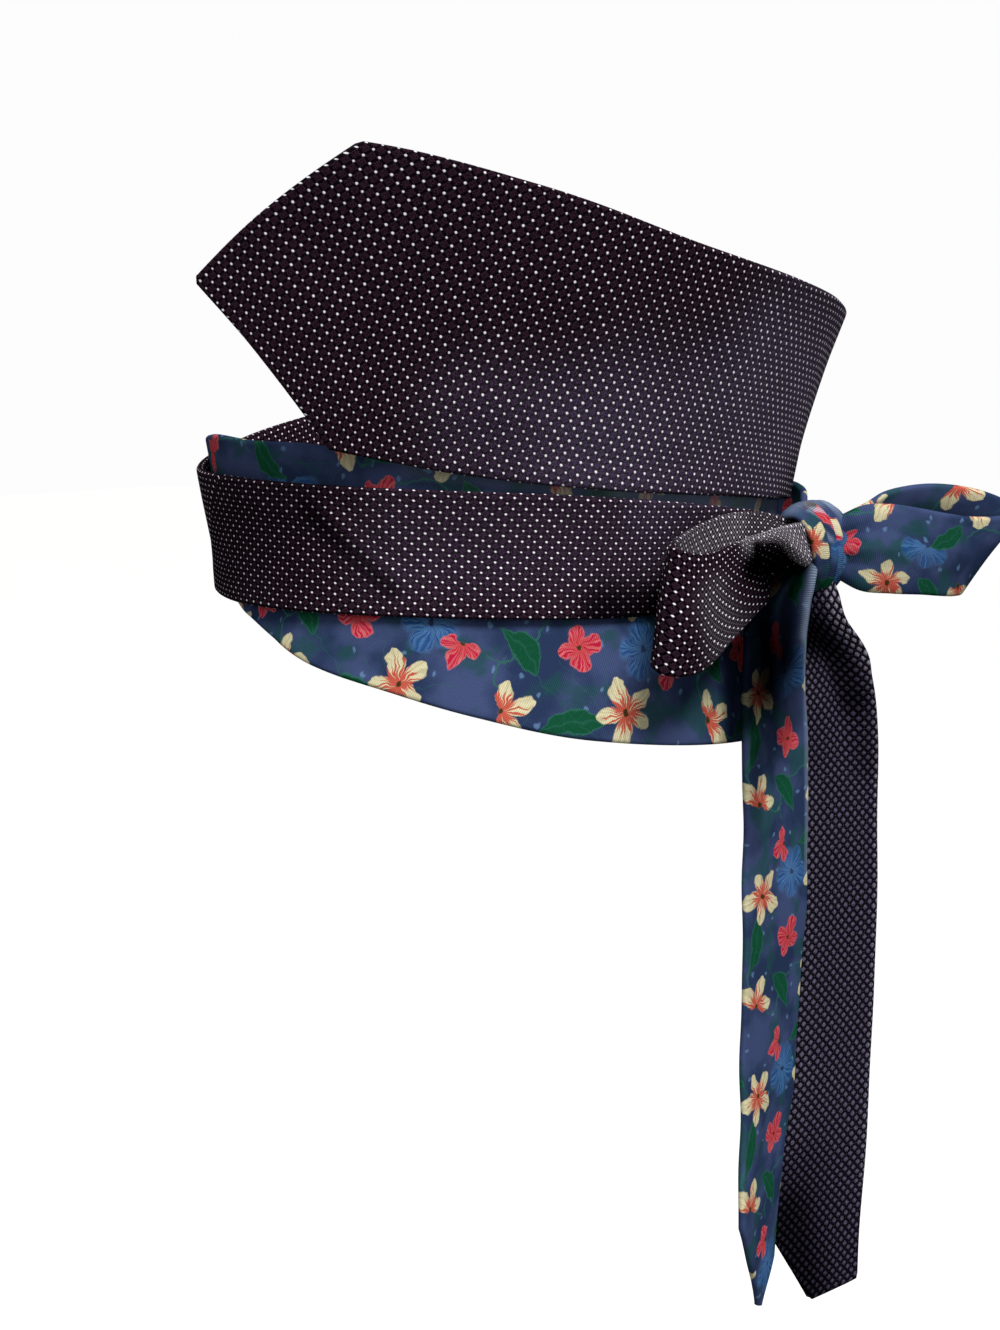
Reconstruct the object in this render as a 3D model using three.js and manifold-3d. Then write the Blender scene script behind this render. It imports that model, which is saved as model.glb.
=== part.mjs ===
// Obi belt made of two neckties, worn: both are wound round a waist over each other
// and tied at the front in a bow. The aubergine tie's wide pointed blade lies up on
// the ribs, the floral tie's wide blade lies down on the hips.
// Millimetres, +Z up. Origin: centre of the waist, at mid-height of the narrow band.
// The wearer faces -Y, and the wearer's right is -X.

import * as THREE from 'three';
import { mergeVertices } from 'three/addons/utils/BufferGeometryUtils.js';
import Module from 'manifold-3d';

const wasm = await Module();
wasm.setup();

// ---- driving dimensions -------------------------------------------------

const wall = 2.6;                 // a pressed necktie: face cloth folded over an interlining
const air = 0.9;                  // between two stretches that lie on each other
const layer = wall + air;         // one stretch further out from the figure
const seamGap = 0.3;              // between the cut pieces of one necktie
const knotClearance = 0.35;       // between the knot and the stretches it holds
const knotCentre = new THREE.Vector3(42, -106, -3);
const acrossSteps = 5;            // faces across a stretch
const tipWidth = 0.9;             // a pointed end stops at this width
const upward = new THREE.Vector3(0, 0, 1);

// The general figure that the neckties are wound on: an oval at each height.
const figure = [
  { height: -140, halfWidth: 158, halfDepth: 124, forward: -6 },
  { height: -100, halfWidth: 144, halfDepth: 113, forward: -5 },
  { height: -60, halfWidth: 129, halfDepth: 101, forward: -3 },
  { height: -20, halfWidth: 116.5, halfDepth: 92, forward: 0 },
  { height: 0, halfWidth: 114.5, halfDepth: 90.5, forward: 0 },
  { height: 30, halfWidth: 117, halfDepth: 93, forward: 2 },
  { height: 60, halfWidth: 121.5, halfDepth: 98, forward: 6 },
  { height: 90, halfWidth: 127, halfDepth: 105, forward: 11 },
  { height: 140, halfWidth: 137, halfDepth: 117, forward: 19 },
];

// Route of each necktie round the waist. Angle 0 is the centre front, 90 the wearer's
// left side, 180 the back and 270 the right side; height is the centre line's, lift is
// how far the inner face stands off the figure, and flare is how much further the
// upper edge stands off.
const pindotWrap = {
  point: { upper: 43, lower: 53 },
  rows: [
    { angle: -97, height: 89.5, width: 91, lift: 29, flare: 0 },
    { angle: -88, height: 87, width: 91, lift: 21, flare: 0 },
    { angle: -76, height: 82.5, width: 91, lift: 12.5, flare: 0 },
    { angle: -57, height: 74, width: 88, lift: 5, flare: 0 },
    { angle: -25, height: 61.1, width: 76.8, lift: layer, flare: 0 },
    { angle: 0, height: 54.5, width: 70.5, lift: layer, flare: 0 },
    { angle: 18, height: 50.5, width: 68, lift: layer, flare: 0 },
    { angle: 40, height: 46.3, width: 64.4, lift: layer, flare: 0 },
    { angle: 70, height: 43, width: 59, lift: layer, flare: 0 },
    { angle: 100, height: 39, width: 54, lift: layer, flare: 0 },
    { angle: 130, height: 33, width: 50, lift: layer, flare: 0 },
    { angle: 160, height: 25, width: 46, lift: layer, flare: 0 },
    { angle: 185, height: 18, width: 43, lift: layer + 0.5, flare: 0.5 },
    { angle: 210, height: 10, width: 41.5, lift: layer + 1.2, flare: 2 },
    { angle: 235, height: 5, width: 41, lift: layer + 1.2, flare: 3 },
    { angle: 262, height: 4, width: 40, lift: layer + 0.5, flare: 1 },
    { angle: 292, height: 3, width: 39, lift: layer, flare: 0 },
    { angle: 315, height: 1.5, width: 38.5, lift: layer, flare: 0 },
    { angle: 335, height: -0.4, width: 36.7, lift: layer, flare: 0 },
    { angle: 352, height: -1.7, width: 32.6, lift: layer, flare: 0 },
    { angle: 366, height: -2.2, width: 26.6, lift: 5.5, flare: 0 },
    { angle: 377, height: -3, width: 20, lift: 8.5, flare: 0 },
  ],
};
const floralWrap = {
  point: { upper: 46, lower: 46 },
  rows: [
    { angle: 46, height: -24, width: 92, lift: 0, flare: 0 },
    { angle: 20, height: -22, width: 92, lift: 0, flare: 0 },
    { angle: 0, height: -20, width: 92, lift: 0, flare: 0 },
    { angle: -28, height: -15, width: 88, lift: 0, flare: 0 },
    { angle: -47, height: -9, width: 82, lift: 0, flare: 0 },
    { angle: -63, height: -4, width: 76, lift: 0, flare: 0 },
    { angle: -79, height: 0, width: 70, lift: 0, flare: 0 },
    { angle: -92, height: 5, width: 64, lift: 0, flare: 0.5 },
    { angle: -104, height: 8, width: 58, lift: 0, flare: 1.5 },
    { angle: -118, height: 10.5, width: 55, lift: 0.5, flare: 3.5 },
    { angle: -140, height: 9, width: 50, lift: 0.5, flare: 2.5 },
    { angle: -160, height: 2, width: 46, lift: 0, flare: 0.5 },
    { angle: -180, height: -8, width: 43, lift: 0, flare: 0 },
    { angle: -205, height: -17, width: 41, lift: 0, flare: 0 },
    { angle: -230, height: -20, width: 40, lift: 0.5, flare: 0 },
    { angle: -258, height: -18, width: 40, lift: layer, flare: 0 },
    { angle: -280, height: -11, width: 39.5, lift: 2 * layer, flare: 0 },
    { angle: -306, height: -2, width: 38.5, lift: 2 * layer, flare: 0 },
    { angle: -322, height: -1, width: 34, lift: 9, flare: 0 },
    { angle: -334, height: -2, width: 24, lift: 11.5, flare: 0 },
    { angle: -341, height: -2, width: 18, lift: 12.5, flare: 0 },
  ],
};

// Where each necktie is cut and joined on the bias, as a share of its wrapped length.
const pindotSeams = [0.53, 0.72];
const floralSeams = [0.5, 0.72];
const seamSlant = 1;              // 1 is a seam at 45 degrees
const seamReach = 45;             // length over which the faces turn to the seam

// The knot, measured from its centre: an upright soft barrel.
const knotRows = [
  { up: -16.5, halfSide: 5, halfOut: 5, side: 0, out: 1 },
  { up: -13.5, halfSide: 8.5, halfOut: 8, side: 0, out: 1 },
  { up: -7.5, halfSide: 11.8, halfOut: 10, side: -0.8, out: 1 },
  { up: 1, halfSide: 13.6, halfOut: 11, side: -1.6, out: 0 },
  { up: 9, halfSide: 13.5, halfOut: 10.5, side: -2.6, out: 0 },
  { up: 15, halfSide: 11.4, halfOut: 8.5, side: -3.9, out: -1 },
  { up: 18.5, halfSide: 6.5, halfOut: 5, side: -4, out: -1 },
];

// Bow loops: each row gives the cloth's upper and lower edge from the knot's centre, as
// [along the loop's heading, spread sideways from it, up], and how far the cloth between
// the edges bows sideways and sags. The aubergine loop is tucked up behind near the knot.
const pindotLoop = {
  heading: new THREE.Vector3(-94, 5, 0),
  rows: [
    { upper: [7, -2, 10.5], lower: [7, -2, -3], bow: 0, sag: 0 },
    { upper: [21, -2, 12.3], lower: [21, -2.2, -5.3], bow: 0, sag: 0 },
    { upper: [34.6, -2.5, 14.3], lower: [35, -2, -9.9], bow: 0, sag: 0 },
    { upper: [47.8, -3, 14.6], lower: [52, -2.2, -17], bow: 0, sag: 0 },
    { upper: [58.6, -3.5, 13.5], lower: [66.6, -2.2, -23.8], bow: 0, sag: 0 },
    { upper: [75, -2, 10.6], lower: [85, -1, -28.6], bow: 0, sag: 0 },
    { upper: [93.5, 3, 7.3], lower: [105.5, 4, -29], bow: 0, sag: 0 },
    { upper: [99, 8.5, 5.9], lower: [108, 9, -31.3], bow: 1, sag: 0 },
    { upper: [95.3, 12, 4.5], lower: [101.4, 12, -32.7], bow: 2, sag: 0 },
    { upper: [86.6, 13.5, 4], lower: [89.1, 13, -31.3], bow: 2, sag: 0 },
    { upper: [78, 14, 5.3], lower: [73.4, 13, -23.2], bow: 1.5, sag: 0 },
    { upper: [71.5, 14, 6.7], lower: [59, 12.5, -16.2], bow: 1, sag: 0 },
    { upper: [66.4, 13.8, 7.5], lower: [48, 10.5, -10.8], bow: 1, sag: 0 },
    { upper: [61.9, 13.2, 8.1], lower: [51.5, 5, 4.6], bow: 4, sag: 1 },
    { upper: [53.3, 12, 8.7], lower: [41, 3.2, 6.4], bow: 4.6, sag: 1 },
    { upper: [42.4, 10.2, 9.5], lower: [29, 2.4, 5.2], bow: 4.7, sag: 3.5 },
    { upper: [31.6, 8.2, 9.9], lower: [18.5, 2.3, 0.6], bow: 4.2, sag: 9.2 },
    { upper: [20.9, 6, 10], lower: [10, 2.8, -1], bow: 3.1, sag: 15 },
    { upper: [8.2, 3.5, 9.7], lower: [3, 2.5, -2], bow: 1.5, sag: 8 },
  ],
};
const floralLoop = {
  heading: new THREE.Vector3(66, -48, 0),
  rows: [
    { upper: [7, -5, 10], lower: [7, -5, -9], bow: 0, sag: 0 },
    { upper: [14, -8, 14.8], lower: [14.5, -8, -13.1], bow: -2, sag: 0 },
    { upper: [24.7, -9, 15.3], lower: [25.3, -9.5, -14.2], bow: -2, sag: 0 },
    { upper: [36.9, -9.5, 13.5], lower: [37.9, -8.5, -15.1], bow: -1, sag: 0 },
    { upper: [47.2, -9, 11.6], lower: [47.3, -6, -16.2], bow: -0.5, sag: 0 },
    { upper: [58, -7, 10], lower: [54, -3, -16.8], bow: 0, sag: 0 },
    { upper: [71, -3.5, 9.7], lower: [58.2, 0, -16.7], bow: 0, sag: 0 },
    { upper: [83, 2, 10.9], lower: [59.5, 3, -16.3], bow: 0, sag: 0 },
    { upper: [82.4, 7.5, 13.6], lower: [58, 6, -15.1], bow: 0, sag: 0 },
    { upper: [79, 10, 15.9], lower: [54.5, 8, -14.8], bow: 0, sag: 0 },
    { upper: [70.4, 11, 18.8], lower: [49.2, 9, -14], bow: 1, sag: 0 },
    { upper: [60.5, 11.5, 20.6], lower: [44.4, 10, -13.2], bow: 1.5, sag: 0 },
    { upper: [50.2, 11, 21.1], lower: [38.6, 10, -12.3], bow: 2, sag: 0 },
    { upper: [39.8, 10, 20.2], lower: [32.3, 9, -11.2], bow: 2, sag: 0 },
    { upper: [31.7, 8.5, 18.6], lower: [26.1, 8, -10.2], bow: 2, sag: 0 },
    { upper: [24, 6.5, 15.2], lower: [19, 6, -8.8], bow: 2, sag: 0 },
    { upper: [8, 4, 9], lower: [7, 4, -6], bow: 1, sag: 0 },
  ],
};

// Hanging ends, from the knot's centre: side is to the wearer's left, out is forward,
// turn swings the cloth's face about the vertical, and cup rounds it across. Each end
// narrows to a tip, side from its middle, over one length on its left and another on
// its right.
const floralTail = {
  point: { left: 38, right: 14, side: 8 },
  rows: [
    { side: -16, out: 2.4, up: -6, width: 12, turn: -30, cup: 1 },
    { side: -20.6, out: 3.2, up: -8.2, width: 15, turn: -28, cup: 1.5 },
    { side: -23.6, out: 2.9, up: -10.6, width: 18.5, turn: -25, cup: 2 },
    { side: -28.6, out: 2.8, up: -15, width: 25, turn: -17, cup: 2 },
    { side: -33.4, out: 3.8, up: -20, width: 31, turn: -10, cup: 2 },
    { side: -36.6, out: 4.6, up: -26, width: 35, turn: -5, cup: 2 },
    { side: -38.3, out: 5.6, up: -33, width: 38, turn: -1, cup: 1 },
    { side: -40, out: 6.5, up: -42, width: 40, turn: 0.6, cup: 1 },
    { side: -39.6, out: 6.5, up: -51, width: 41, turn: 1.5, cup: 1 },
    { side: -36.5, out: 5.5, up: -70, width: 41.5, turn: 0.8, cup: 0.5 },
    { side: -34.8, out: 5, up: -85, width: 42, turn: 0.5, cup: 0 },
    { side: -34, out: 5, up: -108, width: 42, turn: 0.5, cup: 0 },
    { side: -34.2, out: 4.5, up: -148, width: 42, turn: 2.5, cup: 0 },
    { side: -35.8, out: 4, up: -190, width: 41, turn: 6.2, cup: 0 },
    { side: -38.2, out: 4, up: -213, width: 40.5, turn: 9, cup: 0 },
    { side: -41, out: 4, up: -246, width: 39.5, turn: 13.5, cup: 0 },
    { side: -42.5, out: 4, up: -271, width: 38.5, turn: 16, cup: 0 },
  ],
};
const pindotTail = {
  point: { left: 26, right: 3, side: -2 },
  rows: [
    { side: -6.5, out: 3, up: -11, width: 14, turn: -30, cup: 2 },
    { side: -8.6, out: 4, up: -17, width: 20, turn: -30, cup: 3 },
    { side: -7.1, out: 4, up: -22.5, width: 22, turn: -29, cup: 3 },
    { side: -4.3, out: 4, up: -27, width: 24, turn: -28, cup: 3 },
    { side: -1.8, out: 4, up: -30.5, width: 27, turn: -27, cup: 3 },
    { side: 2.3, out: 4, up: -35.3, width: 30, turn: -26, cup: 3 },
    { side: 5.5, out: 4, up: -40, width: 32, turn: -25, cup: 3 },
    { side: 8.9, out: 3, up: -48, width: 34, turn: -24, cup: 2 },
    { side: 10.7, out: 3, up: -57, width: 36, turn: -23, cup: 2 },
    { side: 15.3, out: 2, up: -93, width: 39, turn: -20, cup: 1 },
    { side: 15.2, out: 2, up: -126, width: 40, turn: -20, cup: 0 },
    { side: 14.8, out: 2, up: -165, width: 40, turn: -21, cup: 0 },
    { side: 11.6, out: 2, up: -203, width: 40, turn: -22, cup: 0 },
    { side: 7.8, out: 2, up: -247, width: 40, turn: -22, cup: 0 },
    { side: 5.5, out: 2, up: -281, width: 39, turn: -22, cup: 0 },
  ],
};

const pindotCloth = { color: 0x241a2b, roughness: 0.6, metalness: 0 };
const floralCloth = { color: 0x2f3a66, roughness: 0.55, metalness: 0 };

// ---- smooth tables ------------------------------------------------------

const evenly = (from, to, steps) => (
  Array.from({ length: steps + 1 }, (_, i) => from + ((to - from) * i) / steps)
);

// A curve through one column of a table that never overshoots its rows.
function smoothColumn(places, values) {
  const spans = places.slice(1).map((place, i) => place - places[i]);
  const slopes = spans.map((span, i) => (values[i + 1] - values[i]) / span);
  const tangents = values.map((_, i) => {
    if (i === 0) return slopes[0];
    if (i === slopes.length) return slopes[i - 1];
    if (slopes[i - 1] * slopes[i] <= 0) return 0;
    const before = 2 * spans[i] + spans[i - 1];
    const after = spans[i] + 2 * spans[i - 1];
    return (before + after) / (before / slopes[i - 1] + after / slopes[i]);
  });
  return (place) => {
    const at = THREE.MathUtils.clamp(place, places[0], places[places.length - 1]);
    let i = 0;
    while (i < spans.length - 1 && at > places[i + 1]) i += 1;
    const t = (at - places[i]) / spans[i];
    const rise = t * t * (3 - 2 * t);
    const startBend = t * (1 - t) * (1 - t) * spans[i] * tangents[i];
    const endBend = t * t * (t - 1) * spans[i] * tangents[i + 1];
    return values[i] * (1 - rise) + values[i + 1] * rise + startBend + endBend;
  };
}

function smoothTable(rows, places) {
  const table = {};
  for (const column of Object.keys(rows[0]).filter((key) => typeof rows[0][key] === 'number')) {
    table[column] = smoothColumn(places, rows.map((row) => row[column]));
  }
  return table;
}

const figureAt = smoothTable(figure, figure.map((row) => row.height));

// A point on the figure, or lifted off it square to its oval.
function onFigure(angle, height, lift) {
  const turn = THREE.MathUtils.degToRad(angle);
  const halfWidth = figureAt.halfWidth(height);
  const halfDepth = figureAt.halfDepth(height);
  const outward = new THREE.Vector3(Math.sin(turn) / halfWidth, -Math.cos(turn) / halfDepth, 0);
  const point = new THREE.Vector3(halfWidth * Math.sin(turn), -halfDepth * Math.cos(turn), height);
  point.y -= figureAt.forward(height);
  return point.addScaledVector(outward.normalize(), lift);
}

// ---- solids -------------------------------------------------------------

// A closed wall of cloth. rowAt(place) gives the points across the cloth's middle at a
// place along it, and places are where the wall has its sections.
function clothWall(rowAt, places) {
  const nudge = (places[places.length - 1] - places[0]) / 1000;
  const sections = places.map((place) => {
    const row = rowAt(place);
    const before = rowAt(place - nudge);
    const after = rowAt(place + nudge);
    const side = row.length - 1;
    const outer = [];
    const inner = [];
    row.forEach((point, j) => {
      const along = new THREE.Vector3().subVectors(after[j], before[j]);
      const across = new THREE.Vector3().subVectors(row[Math.min(j + 1, side)], row[Math.max(j - 1, 0)]);
      const normal = along.cross(across).setLength(wall / 2);
      outer.push(point.clone().add(normal));
      inner.push(point.clone().sub(normal));
    });
    const firstFold = new THREE.Vector3().subVectors(row[0], row[1]).setLength(wall / 2).add(row[0]);
    const outward = new THREE.Vector3().subVectors(row[side], row[side - 1]);
    const lastFold = outward.setLength(wall / 2).add(row[side]);
    return [firstFold, ...outer, lastFold, ...inner.reverse()];
  });
  return closedLoft(sections);
}

// Joins equal closed sections into one solid. Each end is closed with rungs between
// the section's two halves, which start at its first point.
function closedLoft(sections) {
  const count = sections[0].length;
  const positions = sections.flat().flatMap((point) => [point.x, point.y, point.z]);
  const faces = [];
  for (let i = 0; i < sections.length - 1; i += 1) {
    for (let j = 0; j < count; j += 1) {
      const a = i * count + j;
      const b = i * count + ((j + 1) % count);
      faces.push(a, b, a + count, b, b + count, a + count);
    }
  }
  for (const [section, flip] of [[0, true], [sections.length - 1, false]]) {
    const first = section * count;
    const addFace = (...corners) => faces.push(...(flip ? corners.reverse() : corners));
    addFace(first, first + 1, first + count - 1);
    for (let j = 1; j < count / 2; j += 1) {
      const near = first + j;
      const far = first + count - j;
      if (near + 1 < far - 1) addFace(near + 1, far - 1, far);
      addFace(near, near + 1, far);
    }
  }
  return solidFrom(positions, faces);
}

function solidFrom(positions, faces) {
  const geometry = new THREE.BufferGeometry();
  geometry.setAttribute('position', new THREE.Float32BufferAttribute(positions, 3));
  geometry.setIndex(faces);
  const merged = mergeVertices(geometry, 1e-4);
  const index = Array.from(merged.index.array);
  if (signedVolume(merged) < 0) index.reverse();
  return new wasm.Manifold(new wasm.Mesh({
    numProp: 3,
    vertProperties: new Float32Array(merged.attributes.position.array),
    triVerts: new Uint32Array(index),
  }));
}

function signedVolume(geometry) {
  const position = geometry.attributes.position;
  const corners = [new THREE.Vector3(), new THREE.Vector3(), new THREE.Vector3()];
  let volume = 0;
  for (let i = 0; i < geometry.index.count; i += 3) {
    corners.forEach((corner, k) => corner.fromBufferAttribute(position, geometry.index.getX(i + k)));
    volume += corners[0].dot(corners[1].cross(corners[2])) / 6;
  }
  return volume;
}

// ---- stretches wound round the figure -----------------------------------

// Follows a wrap's centre line, so that a length along it finds its place in the table.
function wrapRoute({ point, rows }) {
  const direction = Math.sign(rows[1].angle - rows[0].angle);
  const table = smoothTable(rows, rows.map((row) => direction * row.angle));
  const samples = evenly(direction * rows[0].angle, direction * rows[rows.length - 1].angle, 900);
  const centre = (place) => onFigure(direction * place, table.height(place), table.lift(place));
  const lengths = [0];
  for (let i = 1; i < samples.length; i += 1) {
    lengths.push(lengths[i - 1] + centre(samples[i]).distanceTo(centre(samples[i - 1])));
  }
  const placeAt = smoothColumn(lengths, samples);
  return { direction, table, point, length: lengths[lengths.length - 1], placeAt };
}

// A point of the wrap: length along it, distance above its centre line.
function onWrap(route, length, above) {
  const { table, direction } = route;
  const place = route.placeAt(length);
  const step = 0.5;
  const height = table.height(place);
  const rise = table.height(place + step) - table.height(place - step);
  const run = onFigure(direction * (place + step), height, table.lift(place))
    .distanceTo(onFigure(direction * (place - step), height, table.lift(place)));
  const slope = Math.atan2(rise, run);
  const shift = (-above * Math.sin(slope) * 2 * step) / run;
  const lift = table.lift(place) + wall / 2 + (table.flare(place) * above * 2) / table.width(place);
  return onFigure(direction * (place + shift), height + above * Math.cos(slope), lift);
}

function wrapPiece(route, seams, from, to) {
  const stepLength = 10.5;
  const pointed = from === 0;
  const { upper, lower } = route.point;
  const start = pointed ? Math.max(upper, lower) : from;
  const places = [
    ...(pointed ? evenly(0, start, 5).slice(0, -1) : []),
    ...evenly(start, to, Math.ceil((to - start) / stepLength)),
  ];
  const rowAt = (length) => {
    const full = route.table.width(route.placeAt(length)) / 2;
    const pointShare = (point) => (pointed ? THREE.MathUtils.clamp(length / point, 0, 1) : 1);
    const reach = (point) => Math.max(tipWidth / 2, full * pointShare(point));
    const slant = seams.reduce(
      (sum, seam) => sum + seamSlant * Math.exp(-(((length - seam) / seamReach) ** 2)),
      0,
    );
    return evenly(-reach(lower), reach(upper), acrossSteps)
      .map((above) => onWrap(route, length + slant * above, above));
  };
  return clothWall(rowAt, places);
}

// ---- the bow ------------------------------------------------------------

function knotSolid(grow) {
  const sides = 20;
  const sections = knotRows.map((row, i) => {
    const end = i === 0 ? -1 : Number(i === knotRows.length - 1);
    return Array.from({ length: sides }, (_, j) => {
      const turn = (2 * Math.PI * j) / sides;
      return new THREE.Vector3(
        row.side + (row.halfSide + grow) * Math.cos(turn),
        -row.out + (row.halfOut + grow) * Math.sin(turn),
        row.up + end * grow,
      ).add(knotCentre);
    });
  });
  return closedLoft(sections);
}

// Points across a strip: its width along a direction, rounded by cup square to it.
function stripRow(centre, direction, along, width, cup) {
  const normal = new THREE.Vector3().crossVectors(along, direction).normalize();
  return evenly(-1, 1, acrossSteps).map((share) => (
    centre.clone()
      .addScaledVector(direction, (share * width) / 2)
      .addScaledVector(normal, cup * (1 - share * share))
  ));
}

function loopPiece({ heading, rows }, steps, columns) {
  const ahead = heading.clone().normalize();
  const sideways = new THREE.Vector3().crossVectors(upward, ahead);
  const edgeOf = (edge) => new THREE.CatmullRomCurve3(rows.map((row) => knotCentre.clone()
    .addScaledVector(ahead, row[edge][0])
    .addScaledVector(sideways, row[edge][1])
    .addScaledVector(upward, row[edge][2])), false, 'centripetal');
  const edges = [edgeOf('lower'), edgeOf('upper')];
  const table = smoothTable(rows, rows.map((_, i) => i / (rows.length - 1)));
  const rowAt = (place) => {
    const share = THREE.MathUtils.clamp(place, 0, 1);
    const [low, high] = edges.map((edge) => (
      edge.getPoint(share).addScaledVector(edge.getTangent(share), place - share)
    ));
    const corner = low.clone().add(high).multiplyScalar(0.5)
      .addScaledVector(sideways, table.bow(share))
      .addScaledVector(upward, -table.sag(share));
    return new THREE.QuadraticBezierCurve3(low, corner, high).getPoints(columns);
  };
  return clothWall(rowAt, evenly(0, 1, steps));
}

function tailPiece({ point, rows }, steps) {
  const drops = rows.map((row) => -row.up);
  const table = smoothTable(rows, drops);
  const bottom = drops[drops.length - 1];
  const rowAt = (drop) => {
    const half = table.width(drop) / 2;
    const [left, right] = [[-half, point.left], [half, point.right]].map(([edge, length]) => (
      THREE.MathUtils.lerp(point.side, edge, THREE.MathUtils.clamp((bottom - drop) / length, 0, 1))
    ));
    const turn = THREE.MathUtils.degToRad(table.turn(drop));
    const direction = new THREE.Vector3(Math.cos(turn), Math.sin(turn), 0);
    const centre = new THREE.Vector3(table.side(drop), -table.out(drop), -drop)
      .add(knotCentre)
      .addScaledVector(direction, (left + right) / 2);
    return stripRow(centre, direction, upward, Math.max(tipWidth, right - left), table.cup(drop));
  };
  const longer = bottom - Math.max(point.left, point.right);
  const shorter = bottom - Math.min(point.left, point.right);
  return clothWall(rowAt, [
    ...evenly(drops[0], longer, steps),
    ...evenly(longer, shorter, 3).slice(1),
    ...evenly(shorter, bottom, 2).slice(1),
  ]);
}

// ---- the belt -----------------------------------------------------------

function meshOf(name, solid, cloth) {
  const { vertProperties, triVerts } = solid.getMesh();
  const geometry = new THREE.BufferGeometry();
  geometry.setAttribute('position', new THREE.BufferAttribute(new Float32Array(vertProperties), 3));
  geometry.setIndex(new THREE.BufferAttribute(new Uint32Array(triVerts), 1));
  geometry.computeVertexNormals();
  const mesh = new THREE.Mesh(geometry, new THREE.MeshStandardMaterial(cloth));
  mesh.name = name;
  return mesh;
}

const belt = new THREE.Group();
const knotRoom = knotSolid(knotClearance);

function addWrap(names, wrap, seamShares, cloth) {
  const route = wrapRoute(wrap);
  const seams = seamShares.map((share) => share * route.length);
  const ends = [0, ...seams, route.length];
  const halfGap = (seamGap * Math.SQRT2) / 2;
  names.forEach((name, i) => {
    const isLast = i === names.length - 1;
    const from = ends[i] + (i === 0 ? 0 : halfGap);
    const to = ends[i + 1] - (isLast ? 0 : halfGap);
    const piece = wrapPiece(route, seams, from, to);
    belt.add(meshOf(name, isLast ? piece.subtract(knotRoom) : piece, cloth));
  });
}

addWrap(['pindot_blade', 'pindot_back', 'pindot_band'], pindotWrap, pindotSeams, pindotCloth);
addWrap(['floral_blade', 'floral_back', 'floral_side'], floralWrap, floralSeams, floralCloth);
belt.add(meshOf('floral_knot', knotSolid(0), floralCloth));
belt.add(meshOf('pindot_loop', loopPiece(pindotLoop, 44, 7).subtract(knotRoom), pindotCloth));
belt.add(meshOf('floral_loop', loopPiece(floralLoop, 34, acrossSteps).subtract(knotRoom), floralCloth));
belt.add(meshOf('floral_tail', tailPiece(floralTail, 26).subtract(knotRoom), floralCloth));
belt.add(meshOf('pindot_tail', tailPiece(pindotTail, 26).subtract(knotRoom), pindotCloth));

export default belt;
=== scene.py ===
# An obi belt made of two old neckties. Both are wound round a waist over each other and tied
# in a bow at the wearer's left front. Lengths are in millimetres until a mesh is made.
import math

import bpy
import numpy as np
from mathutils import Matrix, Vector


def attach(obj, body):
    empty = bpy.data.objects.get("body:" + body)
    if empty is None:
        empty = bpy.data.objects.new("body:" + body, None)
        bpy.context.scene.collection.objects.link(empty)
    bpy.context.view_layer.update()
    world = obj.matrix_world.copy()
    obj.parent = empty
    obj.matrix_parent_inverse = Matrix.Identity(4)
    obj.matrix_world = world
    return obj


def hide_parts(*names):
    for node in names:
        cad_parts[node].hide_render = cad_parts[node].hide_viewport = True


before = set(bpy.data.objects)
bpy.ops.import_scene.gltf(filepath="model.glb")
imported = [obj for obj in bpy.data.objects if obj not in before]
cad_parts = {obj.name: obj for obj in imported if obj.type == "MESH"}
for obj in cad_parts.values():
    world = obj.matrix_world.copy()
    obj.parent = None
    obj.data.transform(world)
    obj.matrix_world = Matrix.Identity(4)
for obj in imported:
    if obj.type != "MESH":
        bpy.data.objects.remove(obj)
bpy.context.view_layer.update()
print("belt solids loaded:", len(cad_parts))

millimetre = 0.001
clothThickness = 2.6     # a pressed necktie: face cloth folded over its interlining
knotGrip = 17.0          # half width of the cloth where the knot squeezes it
foldSteps = 7            # facets round a folded edge
foldPoints = foldSteps - 1
seamTurn = 1.3           # how near a sewn seam the cloth begins to turn in
backLap = 0.45           # the step down the back, where one half laps over the other
rowSpacing = 2.4         # between two rows of a stretch round the waist
dropSpacing = 2.2        # between two rows of a hanging end
bowMiddle = np.array([42.0, -106.0, -3.0])
upward = np.array([0.0, 0.0, 1.0])


# Small sums that every piece uses.

def unit(vectors):
    return vectors / np.maximum(np.linalg.norm(vectors, axis=-1, keepdims=True), 1e-9)


def easeBetween(low, high, value):
    share = np.clip((value - low) / (high - low), 0.0, 1.0)
    return share * share * (3.0 - 2.0 * share)


# A curve through one column of a table that never overshoots its rows.
def smoothColumn(places, values):
    places = np.array(places, float)
    values = np.array(values, float)
    spans = np.diff(places)
    slopes = np.diff(values) / spans
    tangents = np.zeros(len(values))
    tangents[0] = slopes[0]
    tangents[-1] = slopes[-1]
    for i in range(1, len(slopes)):
        if slopes[i - 1] * slopes[i] > 0:
            before = 2 * spans[i] + spans[i - 1]
            after = spans[i] + 2 * spans[i - 1]
            tangents[i] = (before + after) / (before / slopes[i - 1] + after / slopes[i])

    def valueAt(place):
        place = np.clip(place, places[0], places[-1])
        i = np.clip(np.searchsorted(places, place, side="right") - 1, 0, len(spans) - 1)
        t = (place - places[i]) / spans[i]
        rise = t * t * (3 - 2 * t)
        startBend = t * (1 - t) * (1 - t) * spans[i] * tangents[i]
        endBend = t * t * (t - 1) * spans[i] * tangents[i + 1]
        return values[i] * (1 - rise) + values[i + 1] * rise + startBend + endBend

    return valueAt


def smoothTable(columns, rows, places=None):
    rows = np.array(rows, float)
    if places is None:
        places = rows[:, 0]
    return {name: smoothColumn(places, rows[:, i]) for i, name in enumerate(columns)}


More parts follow.
